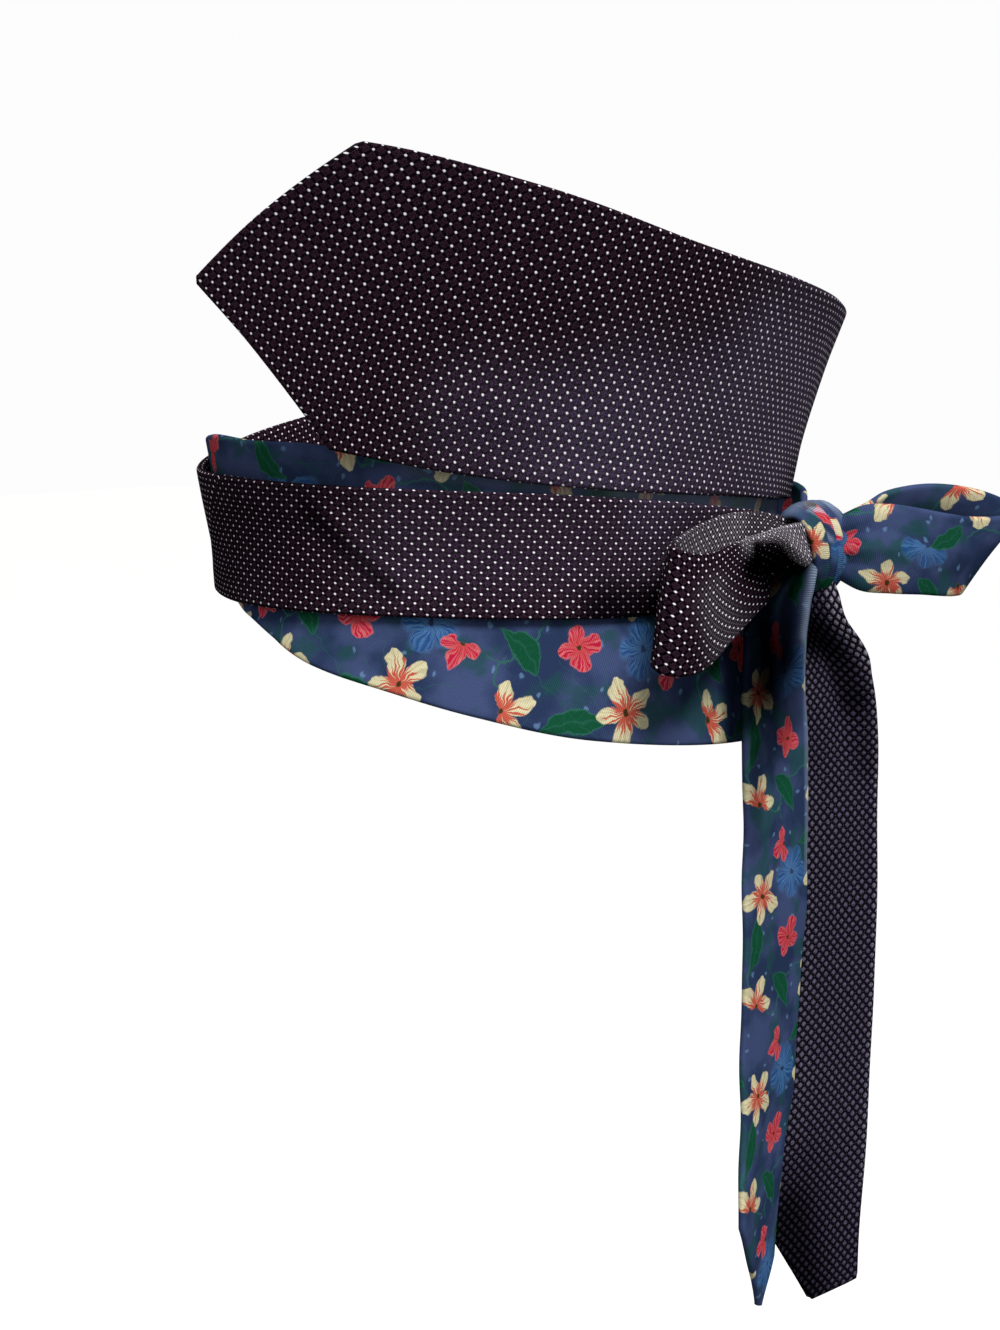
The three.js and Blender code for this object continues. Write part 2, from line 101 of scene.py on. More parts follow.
# Creases given in the flat cloth: (along, across) to (along, across), height, breadth.
# A negative height is a trough.
def creaseLift(along, across, creases):
    lift = np.zeros_like(along)
    for startAlong, startAcross, endAlong, endAcross, height, breadth in creases:
        runAlong = endAlong - startAlong
        runAcross = endAcross - startAcross
        length = math.hypot(runAlong, runAcross)
        fromAlong = along - startAlong
        fromAcross = across - startAcross
        share = (fromAlong * runAlong + fromAcross * runAcross) / length**2
        aside = (fromAlong * runAcross - fromAcross * runAlong) / length
        wander = 0.25 * breadth * np.sin(7.0 * share + startAlong)
        body = np.exp(-(((aside + wander) / breadth) ** 2))
        lift += height * body * easeBetween(-0.2, 0.3, share) * (1 - easeBetween(0.7, 1.2, share))
    return lift


# Soft patches of the flat cloth, each along a given line: (along, across) to
# (along, across), breadth, strength. They say where painted shade or painted highlight goes.
def softPatches(along, across, patches):
    clear = np.ones_like(along)
    for startAlong, startAcross, endAlong, endAcross, breadth, strength in patches:
        run = np.array([endAlong - startAlong, endAcross - startAcross])
        share = ((along - startAlong) * run[0] + (across - startAcross) * run[1]) / (run @ run)
        share = np.clip(share, 0, 1)
        aside = np.hypot(along - startAlong - share * run[0], across - startAcross - share * run[1])
        clear = clear * (1 - strength * np.exp(-((aside / breadth) ** 3)))
    return 1 - clear


# The slow unevenness of worn silk.
def softWaves(along, across, height, seed):
    picks = np.random.default_rng(seed)
    lift = np.zeros_like(along)
    for _ in range(6):
        heading = picks.uniform(0, math.pi)
        wavelength = picks.uniform(24, 70)
        phase = picks.uniform(0, 2 * math.pi)
        travel = along * math.cos(heading) + across * math.sin(heading)
        lift += height / 2.4 * np.sin(2 * math.pi * travel / wavelength + phase)
    return lift


# Pleats where the cloth is squeezed, fading away from the place that holds it.
def gatherLift(distance, share, gather):
    lift = np.zeros_like(distance)
    for pleat, height in enumerate(gather["pleats"]):
        middle = -1 + 2 * (pleat + 0.5) / len(gather["pleats"])
        spreadShare = middle * (1 + 0.15 * distance / gather["reach"])
        breadth = 0.75 / len(gather["pleats"])
        lift += height * np.exp(-(((share - spreadShare) / breadth) ** 2))
    return lift * np.exp(-((np.maximum(distance, 0) / gather["reach"]) ** 1.5))


def addObject(name, data):
    added = bpy.data.objects.new(name, data)
    bpy.context.scene.collection.objects.link(added)
    return added


def columnTimes(column, count):
    return np.repeat(column[:, None], count, axis=1)


# Joins the face of a stretch, its upper fold, its back and its lower fold into rings.
def ringOf(face, upperFold, back, lowerFold):
    return np.concatenate([face, upperFold, back[:, ::-1], lowerFold], axis=1)


def clothNormals(middle):
    return unit(np.cross(np.gradient(middle, axis=0), np.gradient(middle, axis=1)))


# Shares across a stretch, with two close lines at the middle for the lapped seam behind.
def acrossShares(steps):
    shares = np.linspace(-1, 1, steps + 1)
    return np.sort(np.concatenate([shares[np.abs(shares) > 0.02], [-0.012, 0.012]]))


# Makes a folded necktie stretch from the middle of its cloth: a face, two soft folded edges,
# and a back that is lapped down its middle. Its flat map is in metres of cloth.
def makeStretch(name, middle, along, across, facing, piece):
    normals = clothNormals(middle) * facing
    lift = creaseLift(along, across, piece.get("creases", ()))
    lift = lift + softWaves(along, across, piece["waves"], piece["seed"])
    lift = lift + piece.get("lift", 0)
    middle = middle + normals * lift[..., None]
    normals = clothNormals(middle) * facing
    rows, columns = along.shape
    travelled = along[:, columns // 2]
    thick = np.ones(rows)
    for end, isSeam in zip((travelled[0], travelled[-1]), piece.get("seamEnds", (False, False))):
        if isSeam:      # the cloth turns in at a sewn seam
            inward = np.clip(np.abs(travelled - end) / seamTurn, 0, 1)
            thick = np.minimum(thick, 0.35 + 0.65 * np.sqrt(1 - (1 - inward) ** 2))
    half = clothThickness / 2 * thick[:, None] * np.ones_like(along)
    lap = backLap * easeBetween(-0.6, 0.6, across)
    outer = middle + normals * half[..., None]
    inner = middle - normals * (half - 0.2 + lap)[..., None]

    turns = np.linspace(math.pi / 2, -math.pi / 2, foldSteps + 1)[1:-1]

    def foldedEdge(column, neighbour):
        tangent = unit(np.gradient(middle[:, column], axis=0))
        outwards = unit(np.cross(tangent, normals[:, column]))
        if np.sum(outwards * (middle[:, column] - middle[:, neighbour])) < 0:
            outwards = -outwards
        points = []
        for turn in turns:
            sideways = outwards * math.cos(turn) + normals[:, column] * math.sin(turn)
            points.append(middle[:, column] + sideways * half[:, column, None])
        return np.stack(points, axis=1)

    ring = ringOf(outer, foldedEdge(columns - 1, columns - 2), inner, foldedEdge(0, 1)[:, ::-1])
    count = ring.shape[1]

    # Masks for painted shade on the outer and inner faces, and for painted highlight.
    marks = {}
    for mark, outsideKey, insideKey in (("paintedShade", "paintedShades", "insidePaintedShades"), ("paintedHighlight", "paintedHighlights", "paintedHighlights")):
        outside = softPatches(along, across, piece.get(outsideKey, ()))
        inside = softPatches(along, across, piece.get(insideKey, ()))
        upperFold, lowerFold = (columnTimes(outside[:, k], foldPoints) for k in (-1, 0))
        marks[mark] = ringOf(outside, upperFold, inside, lowerFold)

    foldReach = clothThickness / 2 * (math.pi / 2 - turns)
    topEdge = across[:, -1:]
    bottomEdge = across[:, :1]
    topMap = topEdge + foldReach[None, :]
    bottomMap = (bottomEdge - foldReach[None, :])[:, ::-1]
    foldLength = clothThickness * math.pi / 2
    upperMap = ringOf(across, topMap, 2 * topEdge + foldLength - across, bottomMap)
    lowerMap = ringOf(across, topMap, 2 * bottomEdge - foldLength - across, bottomMap)
    upperFold, lowerFold = (columnTimes(along[:, k], foldPoints) for k in (-1, 0))
    alongMap = ringOf(along, upperFold, along, lowerFold)

    backStart = columns + foldPoints
    backEnd = backStart + columns - 1
    backMiddle = backStart + columns // 2
    shiftAlong, shiftAcross = piece.get("printShift", (0, 0))
    pulled = piece.get("pulled", 1)
    faces = []
    faceMap = []
    faceCloth = []
    lining = piece.get("lining")
    for i in range(rows - 1):
        for k in range(count):
            n = (k + 1) % count
            corners = [(i, k), (i + 1, k), (i + 1, n), (i, n)]
            if facing < 0:
                corners.reverse()
            acrossMap = upperMap if k < backMiddle else lowerMap
            faces.append([a * count + b for a, b in corners])
            faceMap.append([
                (alongMap[a, b] + shiftAlong, acrossMap[a, b] * pulled + shiftAcross) for a, b in corners
            ])
            isLined = False
            if lining and backStart <= k < backEnd:
                column = columns - 1 - (k - backStart)
                aside = abs(2 * (column - 0.5) / (columns - 1) - 1)
                fromPoint = abs(travelled[i] - travelled[lining["pointRow"]])
                isLined = aside < 0.84 and fromPoint < lining["reach"]
            faceCloth.append(1 if isLined else 0)
    caps = [[k, k + 1, backEnd - 1 - k, backEnd - k] for k in range(columns - 1)]
    caps.append(list(range(columns - 1, backStart + 1)))
    caps.append(list(range(backEnd, count)) + [0])
    for i, isReversed in ((0, facing > 0), (rows - 1, facing < 0)):
        for cap in caps:
            if isReversed:
                cap = cap[::-1]
            faces.append([i * count + k for k in cap])
            faceMap.append([(alongMap[i, k] + shiftAlong, upperMap[i, k] + shiftAcross) for k in cap])
            faceCloth.append(0)

    mesh = bpy.data.meshes.new(name)
    mesh.from_pydata((ring.reshape(-1, 3) * millimetre).tolist(), [], faces)
    for mark, values in marks.items():
        mesh.attributes.new(mark, "FLOAT", "POINT").data.foreach_set("value", values.ravel())
    flatMap = mesh.uv_layers.new(name="flatCloth")
    corners = np.array([pair for face in faceMap for pair in face]) * millimetre
    flatMap.data.foreach_set("uv", corners.ravel())
    mesh.materials.append(piece["cloth"])
    if lining:
        mesh.materials.append(lining["cloth"])
    mesh.polygons.foreach_set("material_index", faceCloth)
    mesh.polygons.foreach_set("use_smooth", [True] * len(faces))
    mesh.validate()
    mesh.update()
    stretch = addObject(name, mesh)
    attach(stretch, "root")
    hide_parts(piece["solid"])
    print(name, "made:", len(faces), "faces")
    return stretch


# How the cloths' nodes are joined. A Flow is a value on its way through a node tree: a sum on it adds
# the node that works the sum out.

class Flow:
    def __init__(self, socket):
        self.socket = socket
        self.tree = socket.id_data

    def into(self, socket):
        self.tree.links.new(self.socket, socket)

    def __add__(self, other):
        return maths("ADD", self, other)

    def __sub__(self, other):
        return maths("SUBTRACT", self, other)

    def __rsub__(self, other):
        return maths("SUBTRACT", other, self)

    def __mul__(self, other):
        return maths("MULTIPLY", self, other)

    def __truediv__(self, other):
        return maths("DIVIDE", self, other)

    def __rtruediv__(self, other):
        return maths("DIVIDE", other, self)


def wire(socket, value):
    if isinstance(value, Flow):
        value.into(socket)
    elif socket.type == "RGBA":
        socket.default_value = (*value, 1)
    else:
        socket.default_value = value


# Adds a node to the tree that a flow is in.
def addNode(near, kind, inputs, output=0, **settings):
    node = near.tree.nodes.new(kind)
    for key, value in settings.items():
        setattr(node, key, value)
    for key, value in inputs.items():
        wire(node.inputs[key], value)
    return Flow(node.outputs[output])


def maths(operation, *values):
    flows = [value for value in values if isinstance(value, Flow)]
    isVector = any(flow.socket.type in ("VECTOR", "RGBA") for flow in flows)
    kind = "ShaderNodeVectorMath" if isVector else "ShaderNodeMath"
    output = "Value" if operation == "LENGTH" else 0
    return addNode(flows[0], kind, dict(enumerate(values)), output, operation=operation)


def scaled(flow, factor, offset):
    return maths("MULTIPLY_ADD", flow, factor, offset)


def softStep(flow, low, high):
    ends = {"Value": flow, "From Min": low, "From Max": high}
    return addNode(flow, "ShaderNodeMapRange", ends, interpolation_type="SMOOTHSTEP")


def mixColours(share, first, second):
    return addNode(share, "ShaderNodeMix", {0: share, 6: first, 7: second}, 2, data_type="RGBA")


def cloudy(place, scale, detail=2.0, output=0):
    inputs = {"Vector": place, "Scale": scale, "Detail": detail}
    return addNode(place, "ShaderNodeTexNoise", inputs, output, noise_dimensions="2D")


def pair(x, y):
    return addNode(x, "ShaderNodeCombineXYZ", {0: x, 1: y})


def parts(place):
    return [addNode(place, "ShaderNodeSeparateXYZ", {0: place}, side) for side in (0, 1)]


def radiusOf(x, y):
    return maths("SQRT", scaled(x, x, y * y))


def newCloth(name, settings, shown="ground"):
    material = bpy.data.materials.new(name)
    material.use_nodes = True
    material.diffuse_color = (*settings[shown], 1)
    nodes = material.node_tree.nodes
    shader = nodes["Principled BSDF"]
    wire(shader.inputs["Roughness"], settings["roughness"])
    wire(shader.inputs["Specular IOR Level"], settings["gloss"])
    flat = nodes.new("ShaderNodeUVMap")
    flat.uv_map = "flatCloth"
    place = Flow(flat.outputs[0])
    place = addNode(place, "ShaderNodeVectorMath", {0: place, "Scale": 1 / millimetre}, operation="SCALE")
    return material, shader, place


def clothMark(near, mark):
    return addNode(near, "ShaderNodeAttribute", {}, "Fac", attribute_name=mark)


# Sends a cloth's tone to its shader, darkened by the painted shade mark.
def colourCloth(shader, tone):
    kept = 1.0 - clothMark(tone, "paintedShade")
    (tone * kept).into(shader.inputs["Base Color"])
    return kept


def raiseCloth(shader, height, reach):
    inputs = {"Strength": 1.0, "Distance": reach * millimetre, "Height": height}
    addNode(height, "ShaderNodeBump", inputs).into(shader.inputs["Normal"])


# The aubergine silk: a woven pin dot, on the bias.
pindotWeave = {
    "groove": (0.0016, 0.0006, 0.0018),
    "brick": (0.033, 0.0145, 0.0255),
    "paintedLitBrick": (0.096, 0.068, 0.136),     # painted highlight: the brick's tone where the cloth faces the light
    "thread": (0.22, 0.19, 0.24),
    "dot": (0.90, 0.85, 0.91),
    "pitch": 2.9,          # between neighbouring dots, along the threads
    "wander": 0.35,        # how far the rows of dots stray, as a share of the pitch
    "wanderScale": 0.045,
    "dotSize": 0.118,      # radius as a share of the pitch
    # How much the dots grow under the painted highlight.
    "paintedLitDot": 0.030,
    "dotHaze": 0.050,
    "dotNarrow": 0.84,
    "ribs": 5,             # ribs of the weave to a row of dots
    "ribDepth": 0.16,
    "brickEdge": (0.05, 0.19),     # how far from the rows of dots a brick begins and is full
    "rowsOfThread": 1,     # pale threads to a row of dots
    "netLeast": 0.02,      # how far the pale threads between the dots show, and how much more under painted highlight
    "netUnderHighlight": 0.35,
    "roughness": 0.50,
    "gloss": 0.0,
    "wearScale": 2.6,
    "brickSheen": 0.018,
    "sheenSpread": 0.42,
    "sheenTint": (0.80, 0.76, 0.86),
    "relief": 0.42,
}
# The same silk on the hanging end, with a coarser weave of raised bricks; its dots are dimmed as painted
# shade.
pindotEndWeave = {
    **pindotWeave,
    "groove": (0.0025, 0.0018, 0.0036),
    "brick": (0.135, 0.117, 0.195),
    "paintedLitBrick": (0.50, 0.46, 0.58),
    "thread": (0.012, 0.010, 0.016),
    "dot": (0.10, 0.09, 0.12),
    "pitch": 2.7,
    "dotSize": 0.05,
    "paintedLitDot": 0.0,
    "brickEdge": (0.05, 0.40),
    "netUnderHighlight": 0.0,
    "brickSheen": 0.05,
    "relief": 0.8,
}
# The same silk in its loop: slightly darker bricks as painted shade, and pale threads that open into a
# net, partly stretched weave and partly painted highlight.
pindotLoopWeave = {
    **pindotWeave,
    "brick": (0.027, 0.012, 0.023),
    "paintedLitBrick": (0.042, 0.030, 0.048),
    "thread": (0.52, 0.48, 0.55),
    "rowsOfThread": 2,
    "dotSize": 0.120,
    "paintedLitDot": 0.045,
    "netLeast": 0.0,
    "netUnderHighlight": 0.85,
}


def pindotSilk(name, weave):
    cloth, shader, place = newCloth(name, weave, "brick")
    wire(shader.inputs["Sheen Roughness"], weave["sheenSpread"])
    wire(shader.inputs["Sheen Tint"], weave["sheenTint"])
    # The painted highlight mark: where set, the bricks take their lit tone, the dots grow and the pale
    # threads show more.
    paintedHighlight = clothMark(place, "paintedHighlight")
    drift = cloudy(place, weave["wanderScale"])
    along, across = parts(place)
    diagonal = math.sqrt(2) * weave["pitch"]
    slants = [along + across, along - across]
    threads = [scaled(drift, weave["wander"], slant / diagonal) for slant in slants]
    offsets = [maths("FRACT", thread) - 0.5 for thread in threads]
    cell = pair(maths("FLOOR", threads[0]), maths("FLOOR", threads[1]))
    chance = addNode(cell, "ShaderNodeTexWhiteNoise", {"Vector": cell}, "Value", noise_dimensions="2D")

    reach = maths("LENGTH", pair(offsets[0], offsets[1] * weave["dotNarrow"]))
    size = scaled(chance, 0.035, weave["dotSize"] - 0.015)
    size = scaled(paintedHighlight, weave["paintedLitDot"], size)
    dot = softStep(reach - size, weave["dotHaze"], -weave["dotHaze"])

    # A brick of dark threads fills each square between four dots.
    sides = []
    lines = []
    for offset in offsets:
        sides.append(softStep(maths("ABSOLUTE", offset), *weave["brickEdge"]))
        thread = offset * weave["rowsOfThread"]
        aside = maths("ABSOLUTE", thread - maths("ROUND", thread))
        lines.append(softStep(aside, 0.06 * weave["rowsOfThread"], 0.02))
    brick = sides[0] * sides[1]
    ribs = maths("SINE", threads[0] * (2 * math.pi * weave["ribs"]))
    ribbed = brick * scaled(ribs, weave["ribDepth"], 1 - weave["ribDepth"])
    worn = scaled(softStep(cloudy(place, weave["wearScale"]), 0.34, 0.66), 1.5, 0.10)

    silk = mixColours(paintedHighlight, weave["brick"], weave["paintedLitBrick"])
    tone = mixColours(ribbed * worn, weave["groove"], silk)
    net = maths("MAXIMUM", *lines) * scaled(paintedHighlight, weave["netUnderHighlight"], weave["netLeast"])
    tone = mixColours(net, tone, weave["thread"])
    dimDot = [0.55 * part for part in weave["dot"]]
    tone = mixColours(dot, tone, mixColours(scaled(chance, 0.25, 0.75), dimDot, weave["dot"]))
    # The painted shade darkens the tone and the sheen alike.
    kept = colourCloth(shader, tone)
    (brick * weave["brickSheen"] * kept).into(shader.inputs["Sheen Weight"])
    raiseCloth(shader, scaled(dot, 0.9, ribbed * 0.7), weave["relief"])
    return cloth


# The floral silk: a navy twill printed with garden flowers that repeat over a tile.
floralPrint = {
    "ground": (0.052, 0.074, 0.170),
    "deepGround": (0.022, 0.038, 0.092),
    "greenGround": (0.016, 0.070, 0.070),
    "petal": (0.66, 0.60, 0.38),
    "petalShade": (0.46, 0.42, 0.24),
    "streak": (0.50, 0.045, 0.032),
    "heart": (0.055, 0.035, 0.010),
    "coral": (0.48, 0.013, 0.050),
    "coralLight": (0.68, 0.20, 0.19),
    "leaf": (0.006, 0.074, 0.030),
    "leafRim": (0.030, 0.135, 0.100),
    "bloom": (0.018, 0.085, 0.28),
    "bloomLight": (0.100, 0.25, 0.48),
    "fleck": (0.16, 0.30, 0.52),
    "paintedShine": (0.42, 0.52, 0.68),     # painted highlight tone, where the cloth faces the light
    "tile": (72.0, 78.0),
    "wobble": 3.0,         # how unevenly the motifs are drawn
    "wobbleScale": 0.22,
    "cloudScale": 0.05,
    "greenShare": 0.7,
    "greenScale": 0.06,
    "fleckShare": 0.5,
    "fleckScale": 0.105,
    "ribPitch": 0.68,
    "ribSlant": 0.22,
    "wearScale": 2.2,
    "roughness": 0.42,
    "gloss": 0.0,
    "relief": 0.10,
    # Flowers: along, across, turn in degrees, petal length, number, plumpness, side opening.
    "creamFlowers": (
        (14, 16, 10, 11.0, 5, 0.33, 7), (50, 57, 55, 10.6, 5, 0.31, 7),
        (53, 13, 200, 11.4, 5, 0.34, 3.0), (13, 57, 80, 10.8, 6, 0.34, 2.3),
    ),
    "coralFlowers": (
        (33, 36, 20, 8.2, 4, 0.50, 7), (70, 32, 75, 8, 5, 0.44, 4.2), (33, 74, -40, 8.4, 5, 0.46, 4.6),
    ),
    "blueFlowers": ((9, 37, 0, 10.5, 5, 0.46, 7), (66, 72, 100, 10.5, 5, 0.46, 4.4)),
    # Leaves: along, across, turn, length, plumpness.
    "leaves": (
        (32, 12, 15, 21, 0.20), (51, 34, -40, 20, 0.21), (30, 57, 100, 20, 0.20),
        (69, 52, 60, 20, 0.20), (3, 76, 140, 18, 0.21),
    ),
    # Stems: the arc's middle, its radius, its heading and how far it opens, in degrees.
    "stems": ((40, 24, 17, 40, 130), (21, 66, 16, -60, 140), (60, 44, 15, 150, 140)),
}
# The same print where it lies over the knot.
floralKnotPrint = {
    **floralPrint,
    "creamFlowers": ((45, -19, 10, 11.5, 5, 0.34, 7), (57, -8, -139, 20, 5, 0.12, 0.6)),
    "coralFlowers": ((57.5, -11.5, -139, 20, 5, 0.15, 0.6), (8, 12, 40, 8, 4, 0.5, 7)),
    "blueFlowers": ((38, 4, 0, 10.5, 5, 0.46, 7),),
    "leaves": ((47, 12, 10, 22, 0.20), (27, -6, 70, 20, 0.21)),
    "stems": ((50, 24, 17, 190, 120),),
}
# How each row of the print is drawn, the lowest first: what it is, its numbers and its colours.
printLayers = {
    "blueFlowers": (
        "flower", {"Haze": 2.2, "Streaks": 0.5, "Strength": 0.68},
        {"Petal": "bloom", "Shade": "bloomLight", "Streak": "bloomLight", "Heart": "deepGround"},
    ),
    "stems": ("stem", {"Strength": 0.7}, {"Stem": "leafRim"}),
    "leaves": ("leaf", {"Strength": 0.95}, {"Leaf": "leaf", "Rim": "leafRim"}),
    "coralFlowers": (
        "flower", {"Haze": 0.35, "Streaks": 0.35, "Strength": 1.0},
        {"Petal": "coral", "Shade": "coralLight", "Streak": "streak", "Heart": "heart"},
    ),
    "creamFlowers": (
        "flower", {"Haze": 0.3, "Streaks": 0.9, "Strength": 1.0},
        {"Petal": "petal", "Shade": "petalShade", "Streak": "streak", "Heart": "heart"},
    ),
}
motifNumbers = {
    "flower": ("Along", "Across", "Turn", "Reach", "Petals", "Plumpness", "Opening"),
    "leaf": ("Along", "Across", "Turn", "Length", "Plumpness"),
    "stem": ("Along", "Across", "Radius", "Turn", "Opening"),
}


def newMotif(name, numbers, colours):
    tree = bpy.data.node_groups.new(name, "ShaderNodeTree")
    kinds = {"Under": "Color", "Place": "Vector", "Strength": "Float"}
    kinds.update({number: "Float" for number in numbers})
    kinds.update({colour: "Color" for colour in colours})
    for key, kind in kinds.items():
        tree.interface.new_socket(name=key, in_out="INPUT", socket_type="NodeSocket" + kind)
    tree.interface.new_socket(name="Colour", in_out="OUTPUT", socket_type="NodeSocketColor")
    start = tree.nodes.new("NodeGroupInput")
    return {socket.name: Flow(socket) for socket in start.outputs}, tree.nodes.new("NodeGroupOutput")


# The flat place, moved to a motif's middle, wrapped over the tile and turned.
def motifPlace(given, tile):
    repeat = (*tile, 1.0)
    place = given["Place"] - pair(given["Along"], given["Across"])
    place = place - maths("FLOOR", place / repeat + (0.5, 0.5, 0.5)) * repeat
    inputs = {"Vector": place, "Angle": given["Turn"]}
    return parts(addNode(place, "ShaderNodeVectorRotate", inputs, rotation_type="Z_AXIS"))


# Prints a motif's ink over what lies under it.
def printOver(given, end, cover, ink):
    mixColours(cover * given["Strength"], given["Under"], ink).into(end.inputs["Colour"])
    return end.id_data


def flowerMotif(tile):
    numbers = (*motifNumbers["flower"], "Haze", "Streaks")
    given, end = newMotif("printedFlower", numbers, ("Petal", "Shade", "Streak", "Heart"))
    x, y = motifPlace(given, tile)
    angle = maths("ARCTAN2", y, x)
    radius = radiusOf(x, y)
    petalTurn = 2 * math.pi / given["Petals"]
    number = maths("ROUND", angle / petalTurn)
    aside = angle - number * petalTurn
    spot = {"W": number + given["Along"]}
    chance = addNode(number, "ShaderNodeTexWhiteNoise", spot, "Value", noise_dimensions="1D")
    reach = given["Reach"] * scaled(chance, 0.34, 0.80)
    side = maths("ABSOLUTE", radius * maths("SINE", aside))
    share = radius * maths("COSINE", aside) / reach
    kept = maths("MINIMUM", maths("MAXIMUM", share, 0.001), 0.999)
    width = maths("POWER", kept, 0.75) * maths("POWER", 1.0 - kept, 0.60)
    edge = width * (reach * 2.0) * given["Plumpness"] - side
    cover = softStep(edge, given["Haze"] * -1.0, given["Haze"]) * softStep(share, 1.01, 0.97)
    petalMiddle = maths("ABSOLUTE", number * petalTurn)
    cover = cover * maths("LESS_THAN", petalMiddle, given["Opening"] * 0.5)
    spot = {"W": scaled(angle, 7.0, given["Across"]), "Scale": 1.0, "Detail": 1.0}
    rays = addNode(angle, "ShaderNodeTexNoise", spot, noise_dimensions="1D")
    streak = softStep(scaled(rays, 1.2, -0.14) - share, -0.05, 0.10) * given["Streaks"]
    shading = maths("MAXIMUM", softStep(rays, 0.42, 0.62) * 0.7, softStep(edge, 0.75, 0.25) * 0.6)
    colour = mixColours(shading, given["Petal"], given["Shade"])
    colour = mixColours(streak, colour, given["Streak"])
    middle = softStep(radius / given["Reach"], 0.12, 0.07)
    colour = mixColours(middle, colour, given["Heart"])
    return printOver(given, end, maths("MAXIMUM", cover, middle * given["Streaks"]), colour)


def leafMotif(tile):
    given, end = newMotif("printedLeaf", motifNumbers["leaf"], ("Leaf", "Rim"))
    x, y = motifPlace(given, tile)
    share = maths("MINIMUM", maths("MAXIMUM", x / given["Length"] + 0.5, 0.0), 1.0)
    fromMiddle = share - 0.5
    aside = maths("ABSOLUTE", y + fromMiddle * fromMiddle * (given["Length"] * 0.5))
    arch = maths("SINE", maths("POWER", share, 0.8) * math.pi)
    edge = arch * (given["Length"] * given["Plumpness"]) - aside
    rim = softStep(maths("ABSOLUTE", edge), 0.75, 0.25) * 0.8
    rib = softStep(aside, 0.5, 0.15) * 0.35
    veins = softStep(maths("SINE", (x + aside) * 2.2), 0.6, 1.0) * 0.10
    line = maths("MAXIMUM", maths("MAXIMUM", rim, rib), veins)
    ink = mixColours(line, given["Leaf"], given["Rim"])
    return printOver(given, end, softStep(edge, -0.25, 0.25), ink)


def stemMotif(tile):
    given, end = newMotif("printedStem", motifNumbers["stem"], ("Stem",))
    x, y = motifPlace(given, tile)
    angle = maths("ABSOLUTE", maths("ARCTAN2", y, x))
    ripple = maths("SINE", angle * 6.0) * 0.9
    aside = maths("ABSOLUTE", radiusOf(x, y) + ripple - given["Radius"])
    ends = softStep(angle, given["Opening"], given["Opening"] - 0.15)
    return printOver(given, end, softStep(aside, 0.55, 0.2) * ends, given["Stem"])


def floralSilk(name, design):
    cloth, shader, place = newCloth(name, design)
    wobble = cloudy(place, design["wobbleScale"], 2.0, "Color") - (0.5, 0.5, 0.5)
    drawn = place + wobble * (design["wobble"], design["wobble"], 0.0)
    clouds = softStep(cloudy(place, design["cloudScale"], 3.0), 0.35, 0.65)
    tone = mixColours(clouds, design["deepGround"], design["ground"])
    elsewhere = place + (31.0, 57.0, 0.0)
    greens = softStep(cloudy(elsewhere, design["greenScale"], 3.0), 0.52, 0.66)
    tone = mixColours(greens * design["greenShare"], tone, design["greenGround"])
    inputs = {"Vector": drawn * (1.0, 0.62, 1.0), "Scale": design["fleckScale"]}
    flecks = addNode(drawn, "ShaderNodeTexVoronoi", inputs, "Distance", voronoi_dimensions="2D")
    tone = mixColours(softStep(flecks, 0.095, 0.04) * design["fleckShare"], tone, design["fleck"])

    makers = {"flower": flowerMotif, "leaf": leafMotif, "stem": stemMotif}
    motifs = {kind: make(design["tile"]) for kind, make in makers.items()}
    for rows, (kind, numbers, colours) in printLayers.items():
        for row in design[rows]:
            inputs = {"Under": tone, "Place": drawn, **numbers, **dict(zip(motifNumbers[kind], row))}
            inputs["Turn"] = math.radians(inputs["Turn"])
            if kind == "stem":
                inputs["Opening"] = math.radians(inputs["Opening"] / 2)
            inputs.update({key: design[colour] for key, colour in colours.items()})
            tone = addNode(tone, "ShaderNodeGroup", inputs, "Colour", node_tree=motifs[kind])

    along, across = parts(place)
    slanted = scaled(across, design["ribSlant"], along)
    rib = maths("SINE", slanted * (2 * math.pi / design["ribPitch"]))
    grain = scaled(rib, 0.10, 0.94) * scaled(cloudy(place, design["wearScale"], 1.0), 0.3, 0.85)
    woven = addNode(tone, "ShaderNodeHueSaturation", {"Value": grain, "Color": tone})
    # Painted highlight: a pale tone mixed in along the painted highlight mark, stronger on the ribs.
    lit = clothMark(place, "paintedHighlight") * scaled(rib, 0.30, 0.70)
    colourCloth(shader, mixColours(lit, woven, design["paintedShine"]))
    raiseCloth(shader, scaled(rib, 0.5, 0.5), design["relief"])
    return cloth


# The thin plain cloth that lines the pointed ends.
liningCloth = {
    "ground": (0.018, 0.016, 0.028),
    "deepGround": (0.010, 0.009, 0.017),
    "roughness": 0.38,
    "gloss": 0.3,
    "relief": 0.05,
}


def liningSatin(name, satin):
    cloth, shader, place = newCloth(name, satin)
    threads = cloudy(place * (3.0, 0.25, 1.0), 1.0, 3.0)
    colourCloth(shader, mixColours(threads, satin["deepGround"], satin["ground"]))
    raiseCloth(shader, threads, satin["relief"])
    return cloth


pindotCloth = pindotSilk("pindotSilk", pindotWeave)
pindotEndCloth = pindotSilk("pindotSilkEnd", pindotEndWeave)
pindotLoopCloth = pindotSilk("pindotSilkLoop", pindotLoopWeave)
floralCloth = floralSilk("floralSilk", floralPrint)
floralKnotCloth = floralSilk("floralSilkKnot", floralKnotPrint)
darkLining = liningSatin("darkLining", liningCloth)
print("cloths made")


